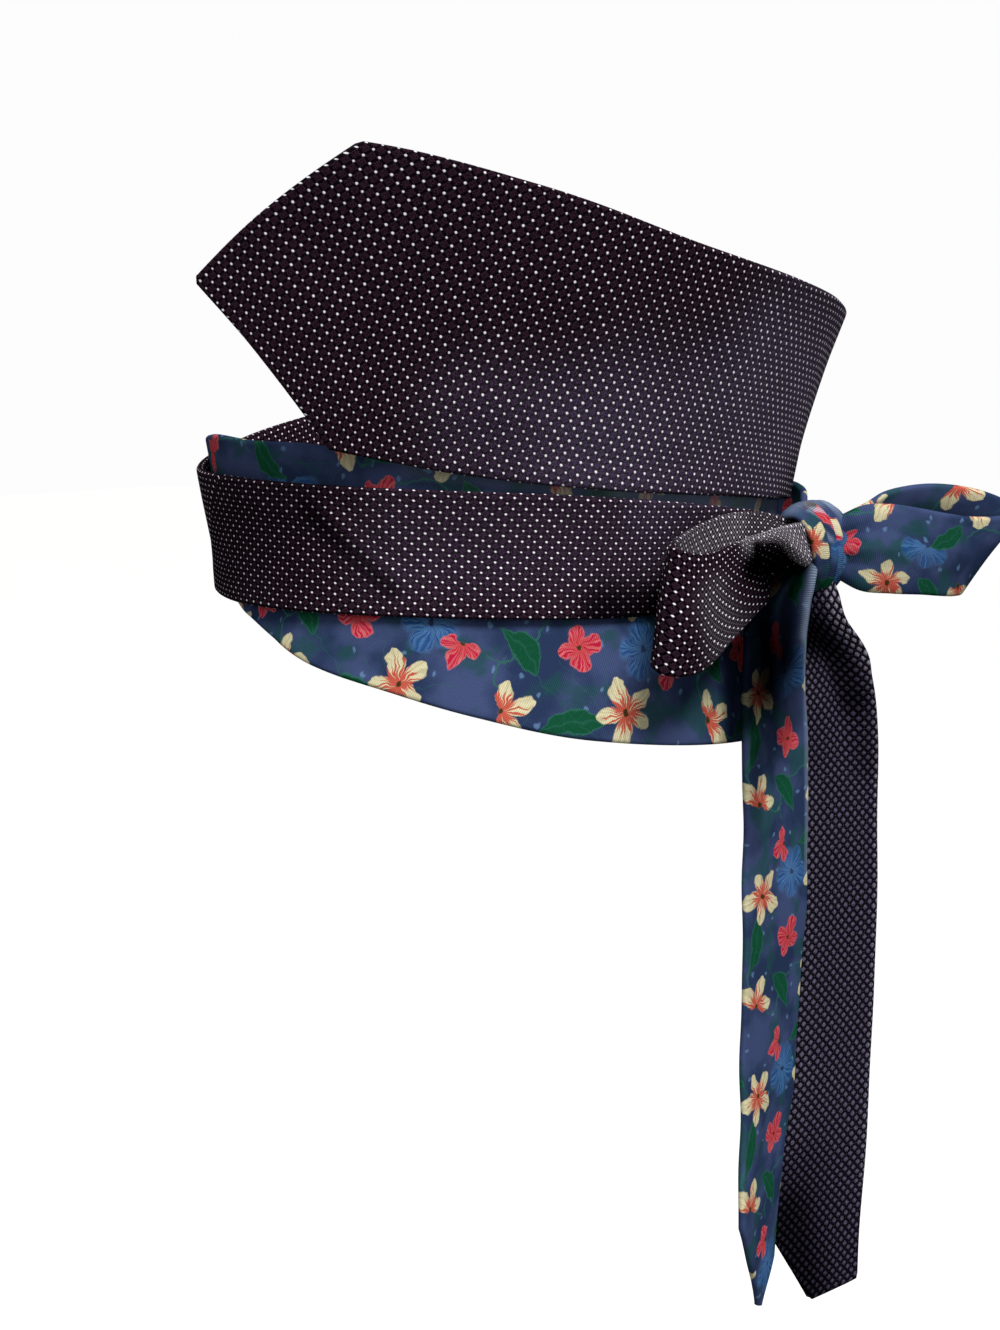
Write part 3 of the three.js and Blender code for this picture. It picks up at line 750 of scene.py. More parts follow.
# The general waist that the neckties are wound on: height, half width, half depth, forward.
waistRows = (
    (-140, 158, 124, -6), (-100, 144, 113, -5), (-60, 129, 101, -3), (-20, 116.5, 92, 0),
    (0, 114.5, 90.5, 0), (30, 117, 93, 2), (60, 121.5, 98, 6), (90, 127, 105, 11), (140, 137, 117, 19),
)
waist = smoothTable(("height", "halfWidth", "halfDepth", "forward"), waistRows)


def onWaist(angle, height, lift):
    turn = np.radians(angle)
    halfWidth = waist["halfWidth"](height)
    halfDepth = waist["halfDepth"](height)
    flat = np.zeros_like(halfWidth * turn)
    outward = np.stack([np.sin(turn) / halfWidth + flat, -np.cos(turn) / halfDepth + flat, flat], axis=-1)
    x = halfWidth * np.sin(turn) + flat
    y = -halfDepth * np.cos(turn) - waist["forward"](height) + flat
    return np.stack([x, y, height + flat], axis=-1) + unit(outward) * np.asarray(lift)[..., None]


# Routes round the waist: angle (0 is the centre front, 90 the wearer's left), height of the
# middle, width, lift off the waist, and how much further the upper edge stands off.
pindotRoute = {
    "pointUpper": 43, "pointLower": 53,
    "rows": (
        (-97, 89.5, 91, 29, 0), (-88, 87, 91, 21, 0), (-76, 82.5, 91, 12.5, 0), (-57, 74, 88, 5, 0),
        (-25, 61.1, 76.8, 3.5, 0), (0, 54.5, 70.5, 3.5, 0), (18, 50.5, 68, 3.5, 0),
        (40, 46.3, 64.4, 3.5, 0), (70, 43, 59, 3.5, 0), (100, 39, 54, 3.5, 0), (130, 33, 50, 3.5, 0),
        (160, 25, 46, 3.5, 0), (185, 18, 43, 4, 0.5), (210, 10, 41.5, 4.7, 2), (235, 5, 41, 4.7, 3),
        (262, 4, 40, 4, 1), (292, 3, 39, 3.5, 0), (315, 1.5, 38.5, 3.5, 0), (335, -0.4, 36.7, 3.5, 0),
        (352, -1.7, 32.6, 3.5, 0), (366, -2.2, 26.6, 5.5, 0), (377, -3, 20, 8.5, 0),
    ),
}
floralRoute = {
    "pointUpper": 46, "pointLower": 46,
    "rows": (
        (46, -24, 92, 0, 0), (20, -22, 92, 0, 0), (0, -20, 92, 0, 0), (-28, -15, 88, 0, 0),
        (-47, -9, 82, 0, 0), (-63, -4, 76, 0, 0), (-79, 0, 70, 0, 0), (-92, 5, 64, 0, 0.5),
        (-104, 8, 58, 0, 1.5), (-118, 10.5, 55, 0.5, 3.5), (-140, 9, 50, 0.5, 2.5), (-160, 2, 46, 0, 0.5),
        (-180, -8, 43, 0, 0), (-205, -17, 41, 0, 0), (-230, -20, 40, 0.5, 0), (-258, -18, 40, 3.5, 0),
        (-280, -11, 39.5, 7, 0), (-306, -2, 38.5, 7, 0), (-322, -1, 34, 9, 0), (-334, -2, 24, 11.5, 0),
        (-341, -2, 18, 12.5, 0),
    ),
}


def followRoute(route):
    rows = np.array(route["rows"], float)
    heading = 1.0 if rows[1, 0] > rows[0, 0] else -1.0
    table = smoothTable(("angle", "height", "width", "lift", "flare"), rows, heading * rows[:, 0])
    samples = np.linspace(heading * rows[0, 0], heading * rows[-1, 0], 901)
    centre = onWaist(heading * samples, table["height"](samples), table["lift"](samples))
    steps = np.linalg.norm(np.diff(centre, axis=0), axis=1)
    lengths = np.concatenate([[0], np.cumsum(steps)])
    return {
        "heading": heading, "table": table, "points": (route["pointLower"], route["pointUpper"]),
        "length": lengths[-1], "placeAt": smoothColumn(lengths, samples),
    }


def onRoute(route, length, above):
    table = route["table"]
    heading = route["heading"]
    place = route["placeAt"](length)
    height = table["height"](place)
    lift = table["lift"](place)
    rise = table["height"](place + 0.5) - table["height"](place - 0.5)
    ahead = onWaist(heading * (place + 0.5), height, lift)
    run = np.linalg.norm(ahead - onWaist(heading * (place - 0.5), height, lift), axis=-1)
    slope = np.arctan2(rise, run)
    shift = -above * np.sin(slope) / run
    standOff = lift + clothThickness / 2 + table["flare"](place) * above * 2 / table["width"](place)
    return onWaist(heading * (place + shift), height + above * np.cos(slope), standOff)


seamReach = 45     # length over which the cloth lines turn to the slant of a bias seam


def wrapStretch(name, route, seams, piece):
    start = piece["from"] * route["length"]
    end = piece["to"] * route["length"]
    pointed = piece["from"] == 0
    firstRow = max(route["points"]) if pointed else start
    places = np.linspace(firstRow, end, int((end - firstRow) / rowSpacing) + 1)
    near = np.array([0.12, 0.35, 0.7, 1.2])
    if pointed:
        places = np.concatenate([[0, 0.5, 1.2], np.linspace(2.2, firstRow, 34)[:-1], places])
    else:
        places = np.concatenate([[start], start + near, places[1:]])
    if piece["to"] < 1:
        places = np.concatenate([places[:-1], end - near[::-1], [end]])
    full = route["table"]["width"](route["placeAt"](places)) / 2
    lower, upper = (np.minimum(1, places / point) if pointed else 1.0 for point in route["points"])
    half = np.maximum(0.4, full * (lower + upper) / 2)
    offMiddle = full * (upper - lower) / 2
    slant = np.zeros_like(places)
    for seam in seams:
        slant += np.exp(-(((places - seam * route["length"]) / seamReach) ** 2))
    above = offMiddle[:, None] + half[:, None] * acrossShares(piece.get("columns", 38))[None, :]
    along = places[:, None] + slant[:, None] * above
    middle = onRoute(route, along, above)
    facing = np.sign(np.sum(clothNormals(middle)[:, :, :2] * middle[:, :, :2]))
    if "gather" in piece:
        piece["lift"] = gatherLift(end - along, above / half[:, None], piece["gather"])
    stretch = makeStretch(name, middle, along, above, facing, piece)
    flatLength = (end - start) * millimetre


pindotSeams = (0.53, 0.72)
floralSeams = (0.50, 0.72)
pindotWrap = followRoute(pindotRoute)
floralWrap = followRoute(floralRoute)
print("routes:", round(pindotWrap["length"]), "and", round(floralWrap["length"]), "mm")

# The wide floral end, low on the hips.
floralBlade = {
    "solid": "floral_blade", "finish": "floral_silk", "cloth": floralCloth,
    "from": 0, "to": 0.50, "seamEnds": (False, True),
    "printShift": (20, 52),
    "restsOn": [],
    "waves": 0.15, "seed": 4,
    "columns": 44,
    "creases": ((95, -38, 165, -20, 0.5, 7), (210, -36, 250, -24, -0.4, 6)),
    # Painted highlight along the strip's upper edge.
    "paintedHighlights": ((40, 37, 150, 37, 6, 0.45), (150, 37, 220, 37, 6, 0.2)),
}
wrapStretch("floralBlade", floralWrap, floralSeams, floralBlade)

# The floral necktie round the back.
floralBack = {
    "solid": "floral_back", "finish": "floral_silk", "cloth": floralCloth,
    "from": 0.50, "to": 0.72, "seamEnds": (True, True),
    "printShift": (61, 17),
    "restsOn": [],
    "waves": 0.15, "seed": 5,
}
wrapStretch("floralBack", floralWrap, floralSeams, floralBack)

# The floral necktie at the wearer's left side, going into the bow.
floralSide = {
    "solid": "floral_side", "finish": "floral_silk", "cloth": floralCloth,
    "from": 0.72, "to": 1, "seamEnds": (True, False),
    "printShift": (11, 83),
    "restsOn": ["floral_blade"],
    "waves": 0.25, "seed": 6,
    "gather": {"pleats": (0.8, -0.6, 0.9, -0.5, 0.7), "reach": 42},
    "creases": ((560, 4, 600, 9, 0.6, 4),),
}
wrapStretch("floralSide", floralWrap, floralSeams, floralSide)

# The wide aubergine end, up on the ribs, with its point at the wearer's right.
pindotBlade = {
    "solid": "pindot_blade", "finish": "pindot_silk", "cloth": pindotCloth,
    "from": 0, "to": 0.53, "seamEnds": (False, True),
    "restsOn": ["floral_blade"],
    "waves": 0.3, "seed": 2,
    "columns": 44,
    "creases": (
        (60, -30, 130, -20, 0.9, 9), (150, 22, 215, 12, 0.6, 11), (120, -34, 200, -26, -0.5, 6),
        (20, 4, 60, -4, 0.5, 9),
    ),
    # Painted highlight: lighter, more violet bricks where the blade faces the light.
    "paintedHighlights": (
        (100, -26, 150, -30, 22, 0.38), (150, -24, 235, -14, 34, 0.64), (205, 10, 260, 14, 30, 0.68),
        (240, -30, 262, 30, 16, 0.5),
    ),
}
wrapStretch("pindotBlade", pindotWrap, pindotSeams, pindotBlade)

# The aubergine necktie round the back.
pindotBack = {
    "solid": "pindot_back", "finish": "pindot_silk", "cloth": pindotCloth,
    "from": 0.53, "to": 0.72, "seamEnds": (True, True),
    "printShift": (1.3, 0.8),
    "restsOn": ["floral_back"],
    "waves": 0.2, "seed": 7,
}
wrapStretch("pindotBack", pindotWrap, pindotSeams, pindotBack)

# The aubergine necktie across the front, narrowing into the bow.
pindotBand = {
    "solid": "pindot_band", "finish": "pindot_silk", "cloth": pindotCloth,
    "from": 0.72, "to": 1, "seamEnds": (True, False),
    "printShift": (2.1, 0.4), "pulled": 1.16,     # pulled tight, its rows of dots draw together
    "restsOn": ["floral_blade"],
    "waves": 0.25, "seed": 8,
    "gather": {"pleats": (0.9, -0.7, 1.0, -0.6, 0.9), "reach": 46},
    "creases": (
        (735, 14, 762, -12, 1.1, 4.5), (742, 16, 772, -8, -0.9, 3.5), (690, 16, 740, 12, 0.5, 3),
        (600, -10, 660, -16, 0.6, 5),
    ),
    # Painted shade in a crease, over the left part and along the lower edge near the bow; then painted
    # highlight nearer the bow.
    "paintedShades": (
        (735, 14, 764, -12, 3.5, 0.6), (650, 0, 722, 0, 24, 0.35), (836, -18, 880, -18, 11, 0.8),
    ),
    "paintedHighlights": ((768, 2, 850, 6, 19, 0.27), (850, 16, 890, 20, 10, 0.35)),
}
wrapStretch("pindotBand", pindotWrap, pindotSeams, pindotBand)


# A smooth curve through points, spaced by the square root of their distances.
def curveThrough(points, samples):
    points = np.array(points, float)
    ends = (2 * points[0] - points[1], 2 * points[-1] - points[-2])
    held = np.concatenate([[ends[0]], points, [ends[1]]])
    spots = np.linspace(0, len(points) - 1, samples)
    found = []
    for spot in spots:
        i = min(int(spot), len(points) - 2)
        t = spot - i
        p = held[i:i + 4]
        gaps = [max(np.linalg.norm(p[k + 1] - p[k]) ** 0.5, 1e-4) for k in range(3)]
        steps = [(p[k + 1] - p[k]) / gaps[k] for k in range(3)]
        startPull = (steps[0] - (p[2] - p[0]) / (gaps[0] + gaps[1]) + steps[1]) * gaps[1]
        endPull = (steps[1] - (p[3] - p[1]) / (gaps[1] + gaps[2]) + steps[2]) * gaps[1]
        rise = t * t * (3 - 2 * t)
        bend = startPull * t * (1 - t) ** 2 + endPull * t * t * (t - 1)
        found.append(p[1] * (1 - rise) + p[2] * rise + bend)
    return np.array(found), spots / (len(points) - 1)


# Lays a strip's width square to its run, rounded by cup.
def stripGrid(centres, tangents, directions, widths, cups, shares):
    normals = unit(np.cross(tangents, directions))
    across = shares[None, :] * widths[:, None] / 2
    rounding = cups[:, None] * (1 - shares[None, :] ** 2)
    grid = centres[:, None, :] + directions[:, None, :] * across[..., None]
    return grid + normals[:, None, :] * rounding[..., None]


def travelOf(centres):
    return np.concatenate([[0], np.cumsum(np.linalg.norm(np.diff(centres, axis=0), axis=1))])


# Bow loops. Each row has the cloth's upper edge and then its lower edge, each as its distance
# from the knot, its spread and its height, and how far the cloth between them bows and sags.
def bowLoop(name, piece):
    rows = np.array(piece["rows"], float)
    ahead = unit(np.array(piece["heading"], float))
    axes = np.stack([ahead, np.cross(upward, ahead), upward])
    upper, share = curveThrough(bowMiddle + rows[:, 0:3] @ axes, piece["steps"])
    lower = curveThrough(bowMiddle + rows[:, 3:6] @ axes, piece["steps"])[0]
    bends = smoothTable(("bow", "sag"), rows[:, 6:8], np.linspace(0, 1, len(rows)))
    corner = (upper + lower) / 2
    corner = corner + axes[1] * bends["bow"](share)[:, None] - upward * bends["sag"](share)[:, None]
    shares = acrossShares(piece["columns"])
    rise = ((shares + 1) / 2)[None, :, None]
    middle = lower[:, None] * (1 - rise) ** 2 + 2 * corner[:, None] * rise * (1 - rise)
    middle = middle + upper[:, None] * rise**2
    widths = np.sum(np.linalg.norm(np.diff(middle, axis=1), axis=2), axis=1)
    travel = travelOf(middle[:, len(shares) // 2])
    wide = 0.5 * (0.45 * widths + 0.55 * piece["clothWidth"])
    along = columnTimes(travel, len(shares))
    across = wide[:, None] * shares[None, :]
    piece["lift"] = gatherLift(along, shares, piece["gather"])
    piece["lift"] += gatherLift(travel[-1] - along, shares, piece["gatherBack"])
    loop = makeStretch(name, middle, along, across, piece["facing"], piece)


# The drooping aubergine loop, pointing to the wearer's right. Near the knot its lower edge is
# tucked up behind.
pindotLoop = {
    "solid": "pindot_loop", "finish": "pindot_silk", "cloth": pindotLoopCloth,
    "heading": (-94, 5, 0), "facing": 1, "steps": 170, "columns": 38, "clothWidth": 42,
    "printShift": (0.6, 1.4),
    "rows": (
        (7, -2, 10.5, 7, -2, -3, 0, 0), (21, -2, 12.3, 21, -2.2, -5.3, 0, 0),
        (34.6, -2.5, 14.3, 35, -2, -9.9, 0, 0), (47.8, -3, 14.6, 52, -2.2, -17, 0, 0),
        (58.6, -3.5, 13.5, 66.6, -2.2, -23.8, 0, 0), (75, -2, 10.6, 85, -1, -28.6, 0, 0),
        (93.5, 3, 7.3, 105.5, 4, -29, 0, 0), (99, 8.5, 5.9, 108, 9, -31.3, 1, 0),
        (95.3, 12, 4.5, 101.4, 12, -32.7, 2, 0), (86.6, 13.5, 4, 89.1, 13, -31.3, 2, 0),
        (78, 14, 5.3, 73.4, 13, -23.2, 1.5, 0), (71.5, 14, 6.7, 59, 12.5, -16.2, 1, 0),
        (66.4, 13.8, 7.5, 48, 10.5, -10.8, 1, 0), (61.9, 13.2, 8.1, 51.5, 5, 4.6, 4, 1),
        (53.3, 12, 8.7, 41, 3.2, 6.4, 4.6, 1), (42.4, 10.2, 9.5, 29, 2.4, 5.2, 4.7, 3.5),
        (31.6, 8.2, 9.9, 18.5, 2.3, 0.6, 4.2, 9.2), (20.9, 6, 10, 10, 2.8, -1, 3.1, 15),
        (8.2, 3.5, 9.7, 3, 2.5, -2, 1.5, 8),
    ),
    # Painted shade over the dark hollow under the roll and inside the loop; painted highlight on the roll
    # and the lit folds.
    "paintedShades": ((161, -24, 152, 3, 12, 0.99), (145, 5, 157, 6, 5.5, 0.93), (90, 16, 93, -20, 5, 0.5)),
    "insidePaintedShades": ((0, -12, 28, -15, 15, 0.99), (140, 0, 215, 0, 20, 0.9)),
    "paintedHighlights": (
        (12, 14, 40, 14, 8, 0.25), (46, 14, 86, 14, 9, 0.55), (120, 4, 131, -20, 9, 0.30),
        (154, 17, 210, 14, 9, 1.0), (172, 4, 206, 2, 8, 1.0),
    ),
    "waves": 0.35, "seed": 12,
    "gather": {"pleats": (1.0, -0.7, 1.1, -0.8, 0.9), "reach": 30},
    "gatherBack": {"pleats": (0.6, -0.5, 0.7, -0.5), "reach": 30},
}
bowLoop("pindotLoop", pindotLoop)

# The stiffer floral loop, pointing forward and to the wearer's left, with a slanting fold.
floralLoop = {
    "solid": "floral_loop", "finish": "floral_silk", "cloth": floralCloth,
    "heading": (66, -48, 0), "facing": 1, "steps": 150, "columns": 30, "clothWidth": 36,
    "printShift": (33, 70),
    "rows": (
        (7, -5, 10, 7, -5, -9, 0, 0), (14, -8, 14.8, 14.5, -8, -13.1, -2, 0),
        (24.7, -9, 15.3, 25.3, -9.5, -14.2, -2, 0), (36.9, -9.5, 13.5, 37.9, -8.5, -15.1, -1, 0),
        (47.2, -9, 11.6, 47.3, -6, -16.2, -0.5, 0), (58, -7, 10, 54, -3, -16.8, 0, 0),
        (71, -3.5, 9.7, 58.2, 0, -16.7, 0, 0), (83, 2, 10.9, 59.5, 3, -16.3, 0, 0),
        (82.4, 7.5, 13.6, 58, 6, -15.1, 0, 0), (79, 10, 15.9, 54.5, 8, -14.8, 0, 0),
        (70.4, 11, 18.8, 49.2, 9, -14, 1, 0), (60.5, 11.5, 20.6, 44.4, 10, -13.2, 1.5, 0),
        (50.2, 11, 21.1, 38.6, 10, -12.3, 2, 0), (39.8, 10, 20.2, 32.3, 9, -11.2, 2, 0),
        (31.7, 8.5, 18.6, 26.1, 8, -10.2, 2, 0), (24, 6.5, 15.2, 19, 6, -8.8, 2, 0),
        (8, 4, 9, 7, 4, -6, 1, 0),
    ),
    # Painted shade near the knot and inside the loop.
    "paintedShades": ((10, -10, 60, -12, 14, 0.22),),
    "insidePaintedShades": ((10, -4, 52, -6, 16, 0.6), (80, 0, 140, 0, 16, 0.8)),
    "waves": 0.3, "seed": 13,
    "gather": {"pleats": (1.0, -0.7, 1.1, -0.8, 0.9), "reach": 24},
    "gatherBack": {"pleats": (0.8, -0.6, 0.9), "reach": 26},
}
bowLoop("floralLoop", floralLoop)


# Hanging ends: side, out, up, width, turn and cup at each row, from the knot down to the point.
# The end narrows to its tip over one length on its left and another on its right.
def hangingEnd(name, piece):
    rows = np.array(piece["rows"], float)
    drops = -rows[:, 2]
    table = smoothTable(("side", "out", "up", "width", "turn", "cup"), rows, drops)
    bottom = drops[-1]
    longer = max(piece["pointLeft"], piece["pointRight"])
    body = np.linspace(drops[0], bottom - longer, int((bottom - drops[0]) / dropSpacing))
    tip = np.linspace(bottom - longer, bottom - 3.2, 20)[1:]
    places = np.concatenate([body, tip, bottom - np.array([2.4, 1.7, 1.1, 0.5, 0])])
    leftShare = np.clip((bottom - places) / piece["pointLeft"], 0, 1)
    rightShare = np.clip((bottom - places) / piece["pointRight"], 0, 1)
    fullHalf = table["width"](places) / 2
    left = piece["pointSide"] - (fullHalf + piece["pointSide"]) * leftShare
    right = piece["pointSide"] + (fullHalf - piece["pointSide"]) * rightShare
    turn = np.radians(table["turn"](places))
    directions = np.stack([np.cos(turn), np.sin(turn), np.zeros_like(turn)], axis=1)
    centres = np.stack([table["side"](places), -table["out"](places), -places], axis=1) + bowMiddle
    centres += directions * ((left + right) / 2)[:, None]
    widths = np.maximum(0.8, right - left)
    shares = acrossShares(30)
    tangents = np.repeat(upward[None, :], len(places), axis=0)
    middle = stripGrid(centres, tangents, directions, widths, table["cup"](places), shares)
    travel = places - places[0]
    pressed = np.maximum(1, 0.35 + 0.65 * knotGrip / fullHalf)     # cloth gathered into the knot
    along = columnTimes(travel, len(shares))
    across = pressed[:, None] * (((left + right) / 2)[:, None] + widths[:, None] / 2 * shares[None, :])
    piece["lift"] = gatherLift(along, shares, piece["gather"])
    piece["lining"]["pointRow"] = len(places) - 1
    tail = makeStretch(name, middle, along, across, piece["facing"], piece)


# The floral necktie's narrow end, in front.
floralTail = {
    "solid": "floral_tail", "finish": "floral_silk", "cloth": floralCloth,
    "pointLeft": 38, "pointRight": 14, "pointSide": 8, "facing": 1,
    "printShift": (47, 28),
    "rows": (
        (-16, 2.4, -6, 12, -30, 1), (-20.6, 3.2, -8.2, 15, -28, 1.5),
        (-23.6, 2.9, -10.6, 18.5, -25, 2), (-28.6, 2.8, -15, 25, -17, 2),
        (-33.4, 3.8, -20, 31, -10, 2), (-36.6, 4.6, -26, 35, -5, 2), (-38.3, 5.6, -33, 38, -1, 1),
        (-40, 6.5, -42, 40, 0.6, 1), (-39.6, 6.5, -51, 41, 1.5, 1), (-36.5, 5.5, -70, 41.5, 0.8, 0.5),
        (-34.8, 5, -85, 42, 0.5, 0), (-34, 5, -108, 42, 0.5, 0), (-34.2, 4.5, -148, 42, 2.5, 0),
        (-35.8, 4, -190, 41, 6.2, 0), (-38.2, 4, -213, 40.5, 9, 0), (-41, 4, -246, 39.5, 13.5, 0),
        (-42.5, 4, -271, 38.5, 16, 0),
    ),
    "lining": {"reach": 80, "cloth": darkLining},
    "waves": 0.4, "seed": 21,
    "gather": {"pleats": (0.8, -0.8, 1.0), "reach": 34},
    "creases": ((-10, 11, 46, 17, 1.8, 2.6), (-4, 5, 60, 11, -1.2, 4), (60, -8, 200, -12, 0.6, 7)),
    # Painted shade where the tail hangs under the loop and knot; painted highlight along its lit right
    # edge.
    "paintedShades": (
        (0, -9, 34, -4, 18, 0.985), (30, -6, 54, -7, 16, 0.7), (60, -16, 92, -19, 5, 0.4),
        (-4, -16, 6, -16, 7, 0.95), (3, 6, 30, 9, 6.5, 0.92), (30, 9, 50, 13, 6.5, 0.6),
        (22, -20, 46, -20.5, 7, 0.8),
    ),
    "paintedHighlights": (
        (0, 12.6, 22, 15.2, 1.7, 0.75), (24, 16, 40, 19.8, 1.5, 0.6), (40, 20.2, 110, 20.6, 1.2, 0.35),
    ),
}
hangingEnd("floralTail", floralTail)

# The aubergine necktie's narrow end, behind it.
pindotTail = {
    "solid": "pindot_tail", "finish": "pindot_silk", "cloth": pindotEndCloth,
    "pointLeft": 26, "pointRight": 3, "pointSide": -2, "facing": 1,
    "printShift": (0.9, 0.2),
    "rows": (
        (-6.5, 3, -11, 14, -30, 2), (-8.6, 4, -17, 20, -30, 3), (-7.1, 4, -22.5, 22, -29, 3),
        (-4.3, 4, -27, 24, -28, 3), (-1.8, 4, -30.5, 27, -27, 3), (2.3, 4, -35.3, 30, -26, 3),
        (5.5, 4, -40, 32, -25, 3), (8.9, 3, -48, 34, -24, 2), (10.7, 3, -57, 36, -23, 2),
        (15.3, 2, -93, 39, -20, 1), (15.2, 2, -126, 40, -20, 0),
        (14.8, 2, -165, 40, -21, 0), (11.6, 2, -203, 40, -22, 0), (7.8, 2, -247, 40, -22, 0),
        (5.5, 2, -281, 39, -22, 0),
    ),
    "lining": {"reach": 70, "cloth": darkLining},
    "waves": 0.4, "seed": 22,
    "gather": {"pleats": (0.9, -0.8, 1.0), "reach": 40},
    "creases": ((10, 8, 60, 14, 1.0, 4), (16, 0, 70, 4, -1.0, 4)),
    # Painted shade at the top under the bow and at the tip; painted highlight along its edges.
    "paintedShades": (
        (0, -6, 20, -6, 10, 0.93), (18, 2, 44, 9, 7, 0.7), (44, 12, 70, 14, 6, 0.3),
        (238, -16, 276, -6, 14, 0.75), (226, -12, 270, 4, 22, 0.35),
    ),
    "paintedHighlights": (
        (-2, 12, 30, 18, 4, 0.8), (24, -14, 40, -14, 7, 0.12), (76, -14, 208, -16, 6, 0.10),
        (34, 18, 100, 20.5, 1.6, 0.6), (100, 20.5, 230, 20.5, 1.6, 0.6),
    ),
}
hangingEnd("pindotTail", pindotTail)


# The knot: a short tube of floral cloth wound over the middle of the bow, wide at its top and
# drawn in below. Its rows go from the bottom to the top: height share, half width and shift.
floralKnot = {
    "solid": "floral_knot", "finish": "floral_silk", "cloth": floralKnotCloth,
    "halfOut": 9.4, "halfUp": 15.4, "raised": 1.2, "facing": -1,
    "rows": ((-1, 7.0, -1.5), (-0.5, 9.8, -1.4), (0, 12.0, -1.8), (0.6, 13.2, -3.0), (1, 13.2, -4.6)),
    "waves": 0.15, "seed": 31,
    # A patch of painted shade; painted highlights as pale satin streaks over the front folds.
    "paintedShades": ((26, -12, 34, 6, 7, 0.35),),
    "paintedHighlights": (
        (60, -12, 48, -1, 0.8, 0.7), (50, 2, 36, 6, 0.9, 0.85), (46, 5, 32, 3, 0.7, 0.6),
        (58, 7, 40, 13, 2.2, 0.42), (62, -14, 57, 14, 4, 0.30), (56, -13, 44, -7, 0.7, 0.5),
        (36, 11, 27, 2, 0.7, 0.6), (40, 13, 33, 9, 0.6, 0.5),
    ),
    # Folds over the front: side share at the top, side share at the bottom, height, breadth.
    "folds": (
        (-0.80, -0.62, 0.7, 0.10), (-0.60, -0.42, -0.9, 0.07), (-0.40, -0.24, 0.9, 0.10),
        (-0.17, -0.02, -0.8, 0.06), (0.02, 0.16, 0.8, 0.09), (0.24, 0.34, -1.0, 0.06),
        (0.42, 0.50, 0.9, 0.09), (0.64, 0.66, -0.9, 0.06), (0.82, 0.82, 0.6, 0.10),
    ),
}


def bowKnot(name, piece):
    turns = np.linspace(-math.pi, math.pi, 121)
    shares = np.linspace(-1, 1, 41)
    turn = turns[:, None]
    share = shares[None, :]
    ends = 1 - 0.20 * np.abs(share) ** 2.6
    out = piece["halfOut"] * np.sign(np.cos(turn)) * np.abs(np.cos(turn)) ** 0.88 * ends
    height = np.sign(np.sin(turn)) * np.abs(np.sin(turn)) ** 0.88
    up = piece["halfUp"] * height * ends + piece["raised"]
    table = smoothTable(("height", "halfSide", "shift"), piece["rows"])
    side = table["halfSide"](height) * share + table["shift"](height)
    middle = np.stack([side, -out, up], axis=-1) + bowMiddle
    lift = np.zeros((len(turns), len(shares)))
    down = (1 - np.sin(turn)) / 2
    for top, bottom, size, breadth in piece["folds"]:
        line = top + (bottom - top) * down
        front = easeBetween(-0.3, 0.3, np.cos(turn))
        lift += size * front * np.exp(-(((share - line) / breadth) ** 2))
    piece["lift"] = lift
    ringLength = travelOf(middle[:, len(shares) // 2])
    along = columnTimes(ringLength, len(shares))
    across = np.repeat(shares[None, :] * knotGrip, len(turns), axis=0)
    knot = makeStretch(name, middle, along, across, piece["facing"], piece)
    width = 2 * float(np.mean(table["halfSide"](height)))
    size = (width * millimetre, ringLength[-1] * millimetre)
    area = size[0] * size[1]


bowKnot("floralKnot", floralKnot)


# A plain pale room.
studio = {
    "floorHeight": -900.0,     # a worn belt is well above the floor
    "floorTone": (0.88, 0.88, 0.875),
    "skyTone": (1.0, 1.0, 1.0),
    "skyStrength": 0.28,     # as it lights the room
    "skySeen": 0.98,         # as it looks
    # The main light is a large soft one far away: where it comes from, its strength and spread.
    "mainLight": {"from": (-0.53, -0.85, 1.19), "strength": 3.7, "spread": 22},
    # Soft lights: place in metres, size, watts, tone.
    "lights": (
        ((-1.5, -0.7, 0.9), 0.9, 5, (0.95, 0.97, 1.0)),
        ((0.9, 1.1, 1.3), 1.2, 10, (1.0, 1.0, 1.0)),
    ),
}


def aimLight(name, lamp, place, target):
    holder = addObject(name, lamp)
    holder.location = place
    aim = np.array(target, float) - np.array(place)
    holder.rotation_mode = "QUATERNION"
    holder.rotation_quaternion = Vector(aim.tolist()).to_track_quat("-Z", "Y")


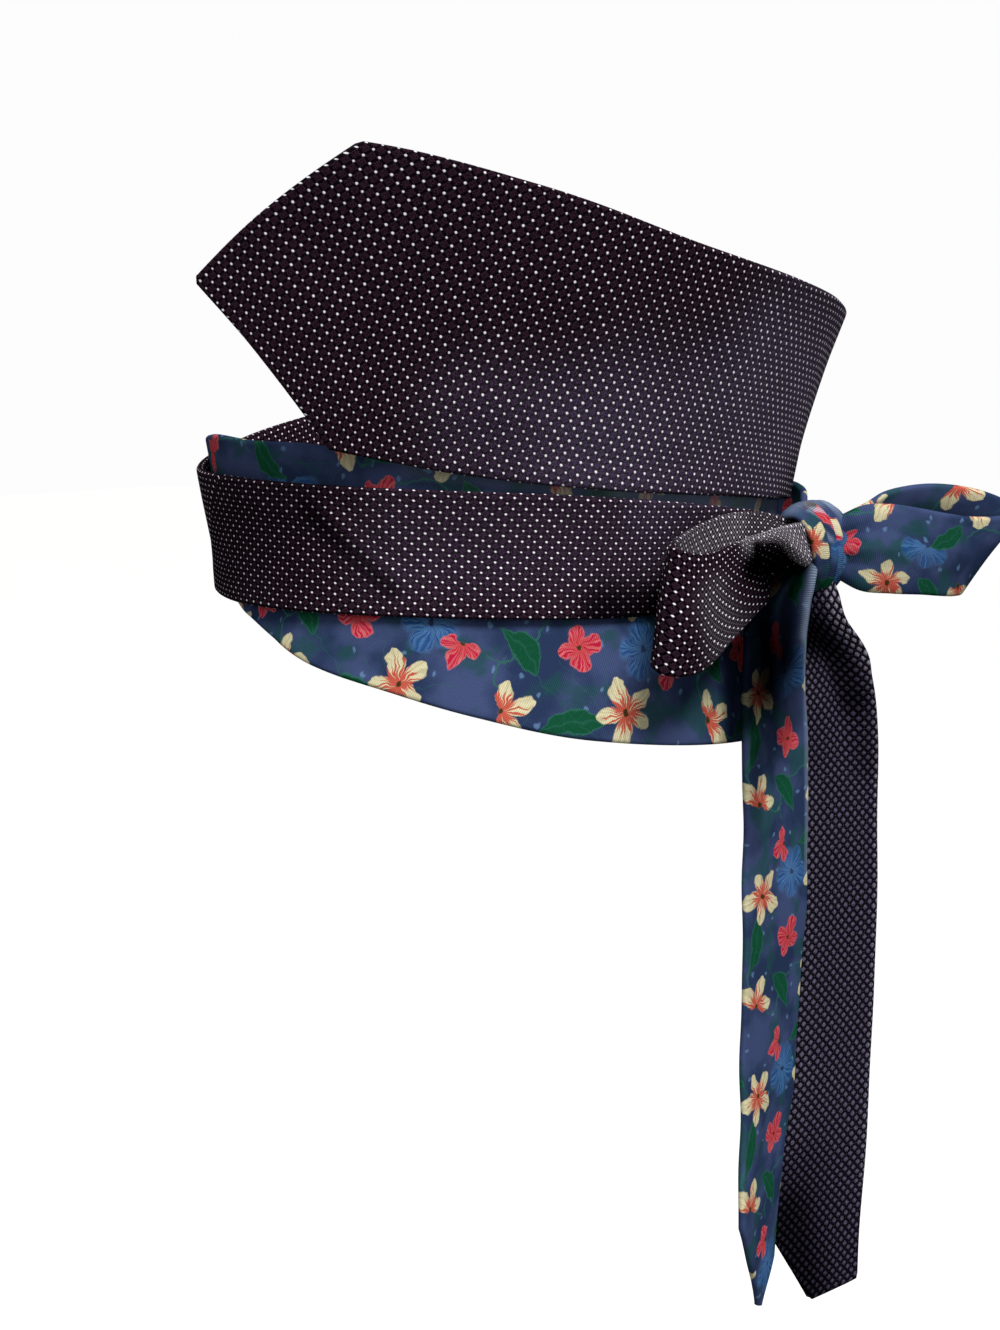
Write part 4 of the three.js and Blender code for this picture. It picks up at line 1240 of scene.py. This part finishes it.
def makeStudio():
    reach = 12.0
    height = studio["floorHeight"] * millimetre
    mesh = bpy.data.meshes.new("floor")
    corners = [(x * reach, y * reach, height) for x, y in ((-1, -1), (1, -1), (1, 1), (-1, 1))]
    mesh.from_pydata(corners, [], [(0, 1, 2, 3)])
    floor = addObject("floor", mesh)
    paint = bpy.data.materials.new("palePaint")
    paint.use_nodes = True
    shader = paint.node_tree.nodes["Principled BSDF"]
    wire(shader.inputs["Base Color"], studio["floorTone"])
    wire(shader.inputs["Roughness"], 0.9)
    mesh.materials.append(paint)
    floor.visible_diffuse = False     # it gives the silk no light from below
    world = bpy.data.worlds.new("paleSky")
    bpy.context.scene.world = world
    world.use_nodes = True
    tree = world.node_tree
    sky = tree.nodes["Background"]
    wire(sky.inputs["Color"], studio["skyTone"])
    isSeen = Flow(tree.nodes.new("ShaderNodeLightPath").outputs["Is Camera Ray"])
    extra = studio["skySeen"] - studio["skyStrength"]
    (isSeen * extra + studio["skyStrength"]).into(sky.inputs["Strength"])
    main = studio["mainLight"]
    sun = bpy.data.lights.new("mainLight", "SUN")
    sun.energy = main["strength"]
    sun.angle = math.radians(main["spread"])
    aimLight("mainLight", sun, main["from"], (0, 0, 0))
    for i, (place, size, power, tone) in enumerate(studio["lights"]):
        lamp = bpy.data.lights.new("softLight%d" % i, "AREA")
        lamp.size = size
        lamp.energy = power
        lamp.color = tone
        aimLight("softLight%d" % i, lamp, place, (0, 0, -0.05))
    bpy.context.scene.view_settings.view_transform = "Standard"


makeStudio()
print("studio set")

# The camera, to the wearer's right of the front and a little above the waist.
cameraSetting = {
    "place": (-0.6877, -0.4996, 0.065),
    "pitch": 82.4,
    "heading": -53.82,
    "lens": 62.12,
}


def placeCamera():
    lens = bpy.data.cameras.new("viewer")
    lens.lens = cameraSetting["lens"]
    lens.sensor_width = 36
    viewer = addObject("viewer", lens)
    viewer.location = cameraSetting["place"]
    heading = math.radians(cameraSetting["heading"])
    viewer.rotation_euler = (math.radians(cameraSetting["pitch"]), 0, heading)
    bpy.context.scene.camera = viewer


placeCamera()

print("belt dressed")
